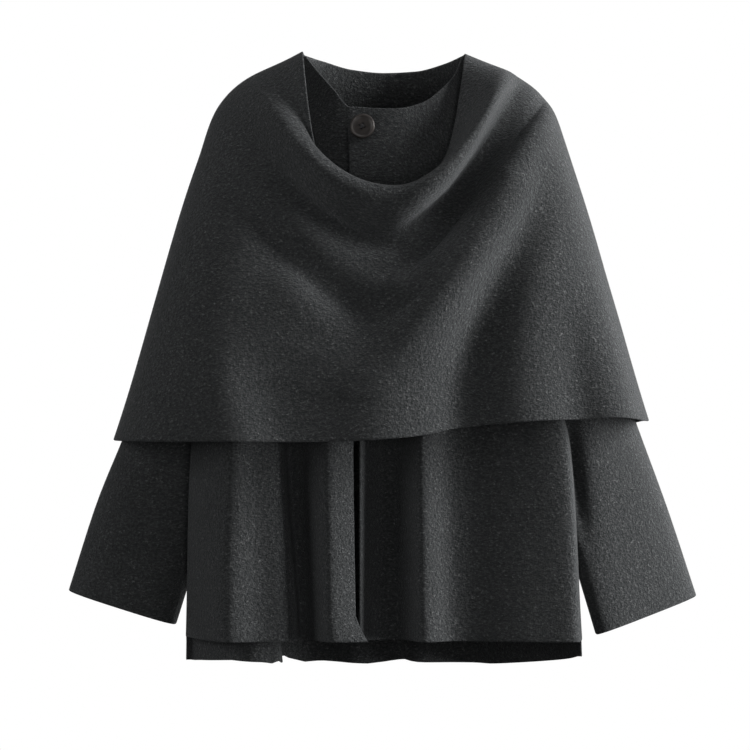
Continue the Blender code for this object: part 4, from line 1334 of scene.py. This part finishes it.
def make_cape_back():
    table = np.array(CAPE_BACK, float)
    lines = []
    for seam_r, seam_l, *_ in cape_rows:
        middle = (seam_r + seam_l) / 2
        low_down, back_y, fall, plan = smooth(table[:, 0], table[:, 1:], np.array([middle]))[0]
        low = np.array([0, back_y, -low_down])
        pairs = (back_y, back_y), (fall, fall), (plan, plan)
        lines.append(cape_line((seam_r, seam_l), low, *pairs, CAPE_BACK_COLUMNS)[::-1])
    lines[0] = neck_seat(lines[0])
    back = Cloth(np.array(lines))
    back.press(CAPE_BACK_CREASES | CAPE_BACK_FINE_CREASES)
    return back


cape_back = make_cape_back()
print("cape back cut to:", cape_back.cut_size())

# %% [markdown]
# ## Sewing the pieces together
#
# The pieces are made first, then creased, and only then sewn: where two of them meet, both rims end on the
# plane that halves the angle between the cloths, a hair apart. At the armhole three pieces meet, so the
# plane is worked out from the body and the sleeve, and the sleeve takes it whole.

# %% Sew the cape
every = slice(None)  # both pieces have the same rows
sew((cape_front, (every, 0), (every, 1)), (cape_back, (every, -1), (every, -2)))
sew((cape_front, (every, -1), (every, -2)), (cape_back, (every, 0), (every, 1)))
print("sewn: cape_front to cape_back")

# %% Sew the coat
# One side of the body: its front, with the columns at the front's side edge and shoulder, those of the back,
# and its sleeve, with the columns that meet the front. The back meets as many, counted the other way round.
Side = namedtuple("Side", "front edge inside shoulder back_edge back_inside back_shoulder sleeve arm")


def sew_side(side, back):
    seam_rows = slice(ARMHOLE_STEPS, len(side.front.grid))
    arm_rows = np.arange(ARMHOLE_STEPS + 1)
    sew(
        (side.front, (seam_rows, side.edge), (seam_rows, side.inside)),
        (back, (seam_rows, side.back_edge), (seam_rows, side.back_inside)),
    )
    sew(
        (side.front, (0, side.shoulder), (1, side.shoulder)),
        (back, (0, side.back_shoulder), (1, side.back_shoulder)),
    )
    shared = side.sleeve.normals[0].copy()
    for body, edge, inside, columns in (
        (side.front, side.edge, side.inside, side.arm),
        (back, side.back_edge, side.back_inside, -side.arm),
    ):
        shared[columns] = unit(body.normals[arm_rows, edge] + side.sleeve.normals[0, columns])
        body.meet((arm_rows, edge), (arm_rows, inside), shared[columns])
    side.sleeve.meet(0, 1, shared)


near_shoulder = slice(0, SHOULDER_COLUMNS + 1)
far_shoulder = slice(-1, -SHOULDER_COLUMNS - 2, -1)
arm_columns = np.arange(ARMHOLE_STEPS + 1)
sides = (
    Side(front_right, 0, 1, near_shoulder, -1, -2, far_shoulder, sleeve_right, arm_columns),
    Side(front_left, -1, -2, far_shoulder, 0, 1, near_shoulder, sleeve_left, -arm_columns),
)
for side in sides:
    sew_side(side, coat_back)
print("sewn: fronts and sleeves to coat_back")

# %% [markdown]
# ## Making the pieces
#
# Each finished piece replaces its plain solid, rides with the body and takes the wool slot.

# %% Make and place every piece
pieces = {
    "coat_back": coat_back,
    "coat_front_right": front_right,
    "coat_front_left": front_left,
    "sleeve_right": sleeve_right,
    "sleeve_left": sleeve_left,
    "cape_front": cape_front,
    "cape_back": cape_back,
}
for node, cloth in pieces.items():
    sizes = cloth.cut_size()
    piece = cloth.wall(node + "_cloth", wool)
    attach(piece, "root")
    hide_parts(node)
    print(node, "quads:", len(piece.data.polygons), "width, length, area:", sizes)

# %% [markdown]
# ## A record of a piece's cut
#
# A cut piece of cloth has a flat size before it is sewn. The fronts, the back and the sleeves are cut
# narrower at the top than at the hem, and the cape's pieces are cut like wide fans, so each area is less
# than the rectangle that the piece is cut from.

# %% The cuts
Cut = namedtuple("Cut", "node width length area held rests_on")  # metres

# %% [markdown]
# ## The horn button
#
# The button is turned on a lathe from brown horn: a dished face, a raised rim and four holes. In Blender a
# lathe is `bmesh.ops.spin`, which sweeps a profile round an axis, and a Boolean drills each hole. Four
# strands of black thread cross between the holes.

# %% Sizes of the button
# The turned profile, from the middle of the face over the rim to the middle of the underside.
Turn = namedtuple("Turn", "radius height")
BUTTON_PROFILE = (
    Turn(0.0, 3.1),
    Turn(4.5, 3.05),
    Turn(8.0, 3.1),
    Turn(9.9, 3.15),
    Turn(10.6, 3.4),
    Turn(11.1, 3.85),
    Turn(11.8, 4.15),
    Turn(12.5, 4.2),
    Turn(13.1, 3.95),
    Turn(13.6, 3.4),
    Turn(13.9, 2.7),
    Turn(14.0, 2.1),
    Turn(13.8, 1.3),
    Turn(13.2, 0.6),
    Turn(12.4, 0.15),
    Turn(11.4, 0.0),
    Turn(0.0, 0.0),
)
BUTTON_SIDES = 72
BUTTON_X, BUTTON_DOWN = -23.5, 87.0
DISH_HEIGHT = BUTTON_PROFILE[0].height
HOLE_COUNT = 4
HOLE_RADIUS = 1.2
HOLE_SPREAD = 3.0  # from the button's middle to a hole's middle
HOLE_TURN = -12.0  # degrees that the holes are turned
HOLE_SIDES = 28
BIT_LENGTH = 8.0
BIT_MIDDLE = 2.0  # how high the middle of a drill bit lies
HOLE_EDGE = 0.18  # how far the holes' edges are broken
print("the button is", 2 * max(turn.radius for turn in BUTTON_PROFILE), "mm wide")

# %% [markdown]
# ## The finish of horn
#
# Polished horn is grey brown with darker and paler streaks, and the lathe leaves fine rings in the dish. A
# wave texture set to rings gives them to the bump, and noise drawn out along one way gives the streaks.

# %% Horn and thread
HORN_DARK = (0.012, 0.0098, 0.0088, 1)
HORN_PALE = (0.042, 0.0345, 0.031, 1)
STREAK = 14 * MM
STREAK_TURN, STREAK_STRETCH = (0, 0.5, 0.7), (1, 4, 1)
PALE_STREAKS = ((0.42, 0), (0.75, 1))  # stops that turn noise into a share of the paler horn
SPECK = 1.2 * MM
LATHE_RINGS = 0.09 / MM  # the scale of the wave that stands for the rings
POLISH_DEPTH = 0.12 * MM
THREAD_BLACK = (0.006, 0.006, 0.007, 1)
THREAD_GREY = tuple(4 * value for value in THREAD_BLACK[:3]) + (1,)
TWIST = 0.5 * MM
TWIST_DEPTH = 0.15 * MM


def horn_material():
    bench = Bench("brown_horn")
    place = bench.add("ShaderNodeTexCoord", output="Object")
    turn = {0: place, "Rotation": STREAK_TURN, "Scale": STREAK_STRETCH}
    streaks = bench.grain(bench.add("ShaderNodeMapping", None, turn), STREAK, Detail=4.0, Distortion=0.6)
    specks = bench.grain(place, SPECK, Detail=2.0)
    colour = bench.blend(bench.ramp(streaks + 0.15 * specks, *PALE_STREAKS), HORN_DARK, HORN_PALE)
    settings = {"wave_type": "RINGS", "rings_direction": "Z"}
    wave = {0: place, "Scale": LATHE_RINGS, "Distortion": 0.2}
    rings = bench.add("ShaderNodeTexWave", settings, wave, output=1)
    relief = {"Strength": 0.25, "Distance": POLISH_DEPTH, "Height": rings + specks}
    bump = bench.add("ShaderNodeBump", None, relief)
    bench.feed(bench.shader, {"Specular IOR Level": 0.5})
    return bench.finish(Base_Color=colour, Roughness=0.30 + 0.25 * specks, Normal=bump)


def thread_material():
    bench = Bench("black_thread")
    place = bench.add("ShaderNodeTexCoord", output="Object")
    twist = bench.grain(place, TWIST, Detail=1.0)
    colour = bench.blend(twist, THREAD_BLACK, THREAD_GREY)
    bump = bench.add("ShaderNodeBump", None, {"Strength": 0.6, "Distance": TWIST_DEPTH, "Height": twist})
    return bench.finish(Base_Color=colour, Roughness=0.7, Normal=bump)


horn, thread = horn_material(), thread_material()
print("button finishes:", horn.name, thread.name)

# %% [markdown]
# ## Where the button sits
#
# The button lies flat on the left front, whose cloth leans back there. So its place and its tilt are taken
# from the point of the cloth that lies nearest to it, and the button is turned to face along that point's
# normal.

# %% Find the button's seat


def button_seat(front):
    """Where the button lies on the left front, as a matrix in metres."""
    offset = front.grid - np.array([BUTTON_X, 0, -BUTTON_DOWN])
    distance = np.hypot(offset[..., 0], offset[..., 2])
    r, c = np.unravel_index(distance.argmin(), distance.shape)
    normal = front.normals[r, c]
    across = unit(front.grid[r, c + 1] - front.grid[r, c])
    ahead = np.dot(front.grid[r, c] - (BUTTON_X, 0, -BUTTON_DOWN), normal) / normal[1]
    seat = np.array([BUTTON_X, ahead, -BUTTON_DOWN]) + normal * (CLOTH / 2 + SEAM_GAP)
    upright = unit(np.cross(across, normal))
    matrix = np.eye(4)
    matrix[:3, :3] = np.stack([np.cross(upright, normal), upright, normal], axis=1)
    matrix[:3, 3] = seat * MM
    return Matrix(matrix.tolist())


seat = button_seat(front_left)
print("button at", [round(value, 4) for value in seat.translation])

# %% Turn and drill the button


def add_piece(name, bm, material, place=None):
    mesh = bpy.data.meshes.new(name)
    bm.to_mesh(mesh)
    bm.free()
    mesh.materials.append(material)
    piece = bpy.data.objects.new(name, mesh)
    if place is not None:
        mesh.transform(place)
    bpy.context.scene.collection.objects.link(piece)
    return piece


def lathe(profile, sides):
    """A round solid from a profile of (radius, height) in millimetres."""
    bm = bmesh.new()
    line = [bm.verts.new((radius * MM, 0, height * MM)) for radius, height in profile]
    edges = [bm.edges.new(pair) for pair in zip(line, line[1:])]
    bmesh.ops.spin(bm, geom=line + edges, axis=(0, 0, 1), cent=(0, 0, 0), angle=2 * np.pi, steps=sides)
    bmesh.ops.remove_doubles(bm, verts=bm.verts, dist=0.001 * MM)
    bmesh.ops.recalc_face_normals(bm, faces=bm.faces)
    return bm


def hole_middles():
    angles = np.radians(HOLE_TURN) + np.arange(HOLE_COUNT) * 2 * np.pi / HOLE_COUNT
    return np.stack([np.cos(angles), np.sin(angles)], axis=1) * HOLE_SPREAD


def drill(piece):
    """Cuts the four holes with one Boolean, and keeps the result as plain mesh."""
    bits = bmesh.new()
    size = {"radius1": HOLE_RADIUS * MM, "radius2": HOLE_RADIUS * MM, "depth": BIT_LENGTH * MM}
    for x, y in hole_middles():
        place = Matrix.Translation((x * MM, y * MM, BIT_MIDDLE * MM))
        bmesh.ops.create_cone(bits, cap_ends=True, segments=HOLE_SIDES, matrix=place, **size)
    tool = add_piece("drill_bits", bits, horn)
    cut = piece.modifiers.new("holes", "BOOLEAN")
    cut.object = tool
    round_off = piece.modifiers.new("soft edges", "BEVEL")
    round_off.width, round_off.segments, round_off.limit_method = HOLE_EDGE * MM, 2, "ANGLE"
    done = bpy.data.meshes.new_from_object(piece.evaluated_get(bpy.context.evaluated_depsgraph_get()))
    piece.modifiers.clear()
    piece.data = done
    bpy.data.objects.remove(tool)


button = add_piece("button_horn", lathe(BUTTON_PROFILE, BUTTON_SIDES), horn)
drill(button)
button.data.transform(seat)
button.data.shade_smooth()
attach(button, "root")
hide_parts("button")
print("button faces:", len(button.data.polygons))

# %% [markdown]
# ## The thread
#
# The button is sewn on with black thread that crosses between the holes. Each strand comes up out of one
# hole, bows over the dish and goes down the hole across from it. A tube round a short curve is all it
# takes.

# %% Sew the button on
THREAD_RADIUS = 0.42
THREAD_BOW = 0.75  # how high the thread stands above the dish where the strands cross
THREAD_FLATNESS = 1.6  # above 1, a strand reaches its full height before its middle
THREAD_DIP = 2.2  # how deep a strand's ends go into the holes
THREAD_END = 0.125  # the share of a strand's length over which it goes in
STRAND_PART = 0.5  # how far a strand bows to one side of the line between its holes


def strand(bm, start, end, side, steps=14, round_sides=8):
    """One strand of thread that comes up out of a hole, bows over the dish and goes down another hole."""
    t = np.linspace(0, 1, steps + 1)
    middle = start[None] + (end - start)[None] * t[:, None]
    away = np.array([start[1] - end[1], end[0] - start[0]]) / np.linalg.norm(end - start)
    middle = middle + away * side * STRAND_PART * np.sin(np.pi * t)[:, None]
    rise = np.clip(np.sin(np.pi * t) * THREAD_FLATNESS, 0, 1)
    dip = np.clip(1 - np.minimum(t, 1 - t) / THREAD_END, 0, 1)
    points = np.column_stack([middle, DISH_HEIGHT + THREAD_BOW * rise - THREAD_DIP * dip])
    along = unit(np.gradient(points, axis=0))
    sideways = unit(np.cross(along, (0, 0, 1)))
    up = np.cross(sideways, along)
    angles = np.linspace(0, 2 * np.pi, round_sides, endpoint=False)
    rings = []
    for point, right, top in zip(points, sideways, up):
        ring = point + THREAD_RADIUS * (np.cos(angles)[:, None] * right + np.sin(angles)[:, None] * top)
        rings.append([bm.verts.new(corner * MM) for corner in ring])
    for first, second in zip(rings, rings[1:]):
        for i in range(round_sides):
            j = (i + 1) % round_sides
            bm.faces.new((first[i], first[j], second[j], second[i]))
    bm.faces.new(rings[0][::-1])
    bm.faces.new(rings[-1])


sewing = bmesh.new()
holes = hole_middles()
for i in range(HOLE_COUNT // 2):
    for side in (-1, 1):
        strand(sewing, holes[i], holes[i + HOLE_COUNT // 2], side)
for face in sewing.faces:
    face.smooth = True
button_thread = add_piece("button_thread", sewing, thread, seat)
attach(button_thread, "root")
print("thread faces:", len(button_thread.data.polygons))

# %% [markdown]
# ## The floor
#
# The coat hangs free, so the floor is well below it. It is a pale disc that fades into the white room at
# its rim. It glows by itself, because the lamps are aimed at the coat, and it is kept from lighting the
# coat from below.

# %% A pale floor
FLOOR_DOWN = 1.35  # metres
FLOOR_RADIUS = 2.6  # metres
FLOOR_SIDES = 96
FLOOR_FADE = ((0.35, 0), (0.95, 1))  # from the middle's grey to the rim's white, as shares of the radius
WHITE, BLACK = (1, 1, 1, 1), (0, 0, 0, 1)
FLOOR_GLOW = (0.55, 0.55, 0.55, 1)
FLOOR_GREY = (0.4, 0.4, 0.4, 1)


def floor_material():
    bench = Bench("pale_floor")
    place = bench.add("ShaderNodeTexCoord", output="Object")
    radius = bench.add("ShaderNodeVectorMath", {"operation": "LENGTH"}, {0: place}, output=1)
    fade = bench.ramp(radius * (1 / FLOOR_RADIUS), *FLOOR_FADE)
    bench.feed(bench.shader, {"Emission Strength": 1.0, "Specular IOR Level": 0.0})
    glow = bench.blend(fade, FLOOR_GLOW, WHITE)
    base = bench.blend(fade, FLOOR_GREY, BLACK)
    return bench.finish(Base_Color=base, Emission_Color=glow, Roughness=1.0)


disc = bmesh.new()
bmesh.ops.create_circle(disc, cap_ends=True, segments=FLOOR_SIDES, radius=FLOOR_RADIUS)
floor = add_piece("floor", disc, floor_material())
floor.location = (0, 0, -FLOOR_DOWN)
floor.visible_diffuse = floor.visible_glossy = False  # it is seen, but throws no light up at the coat
print("floor is", FLOOR_DOWN, "m below the neck")
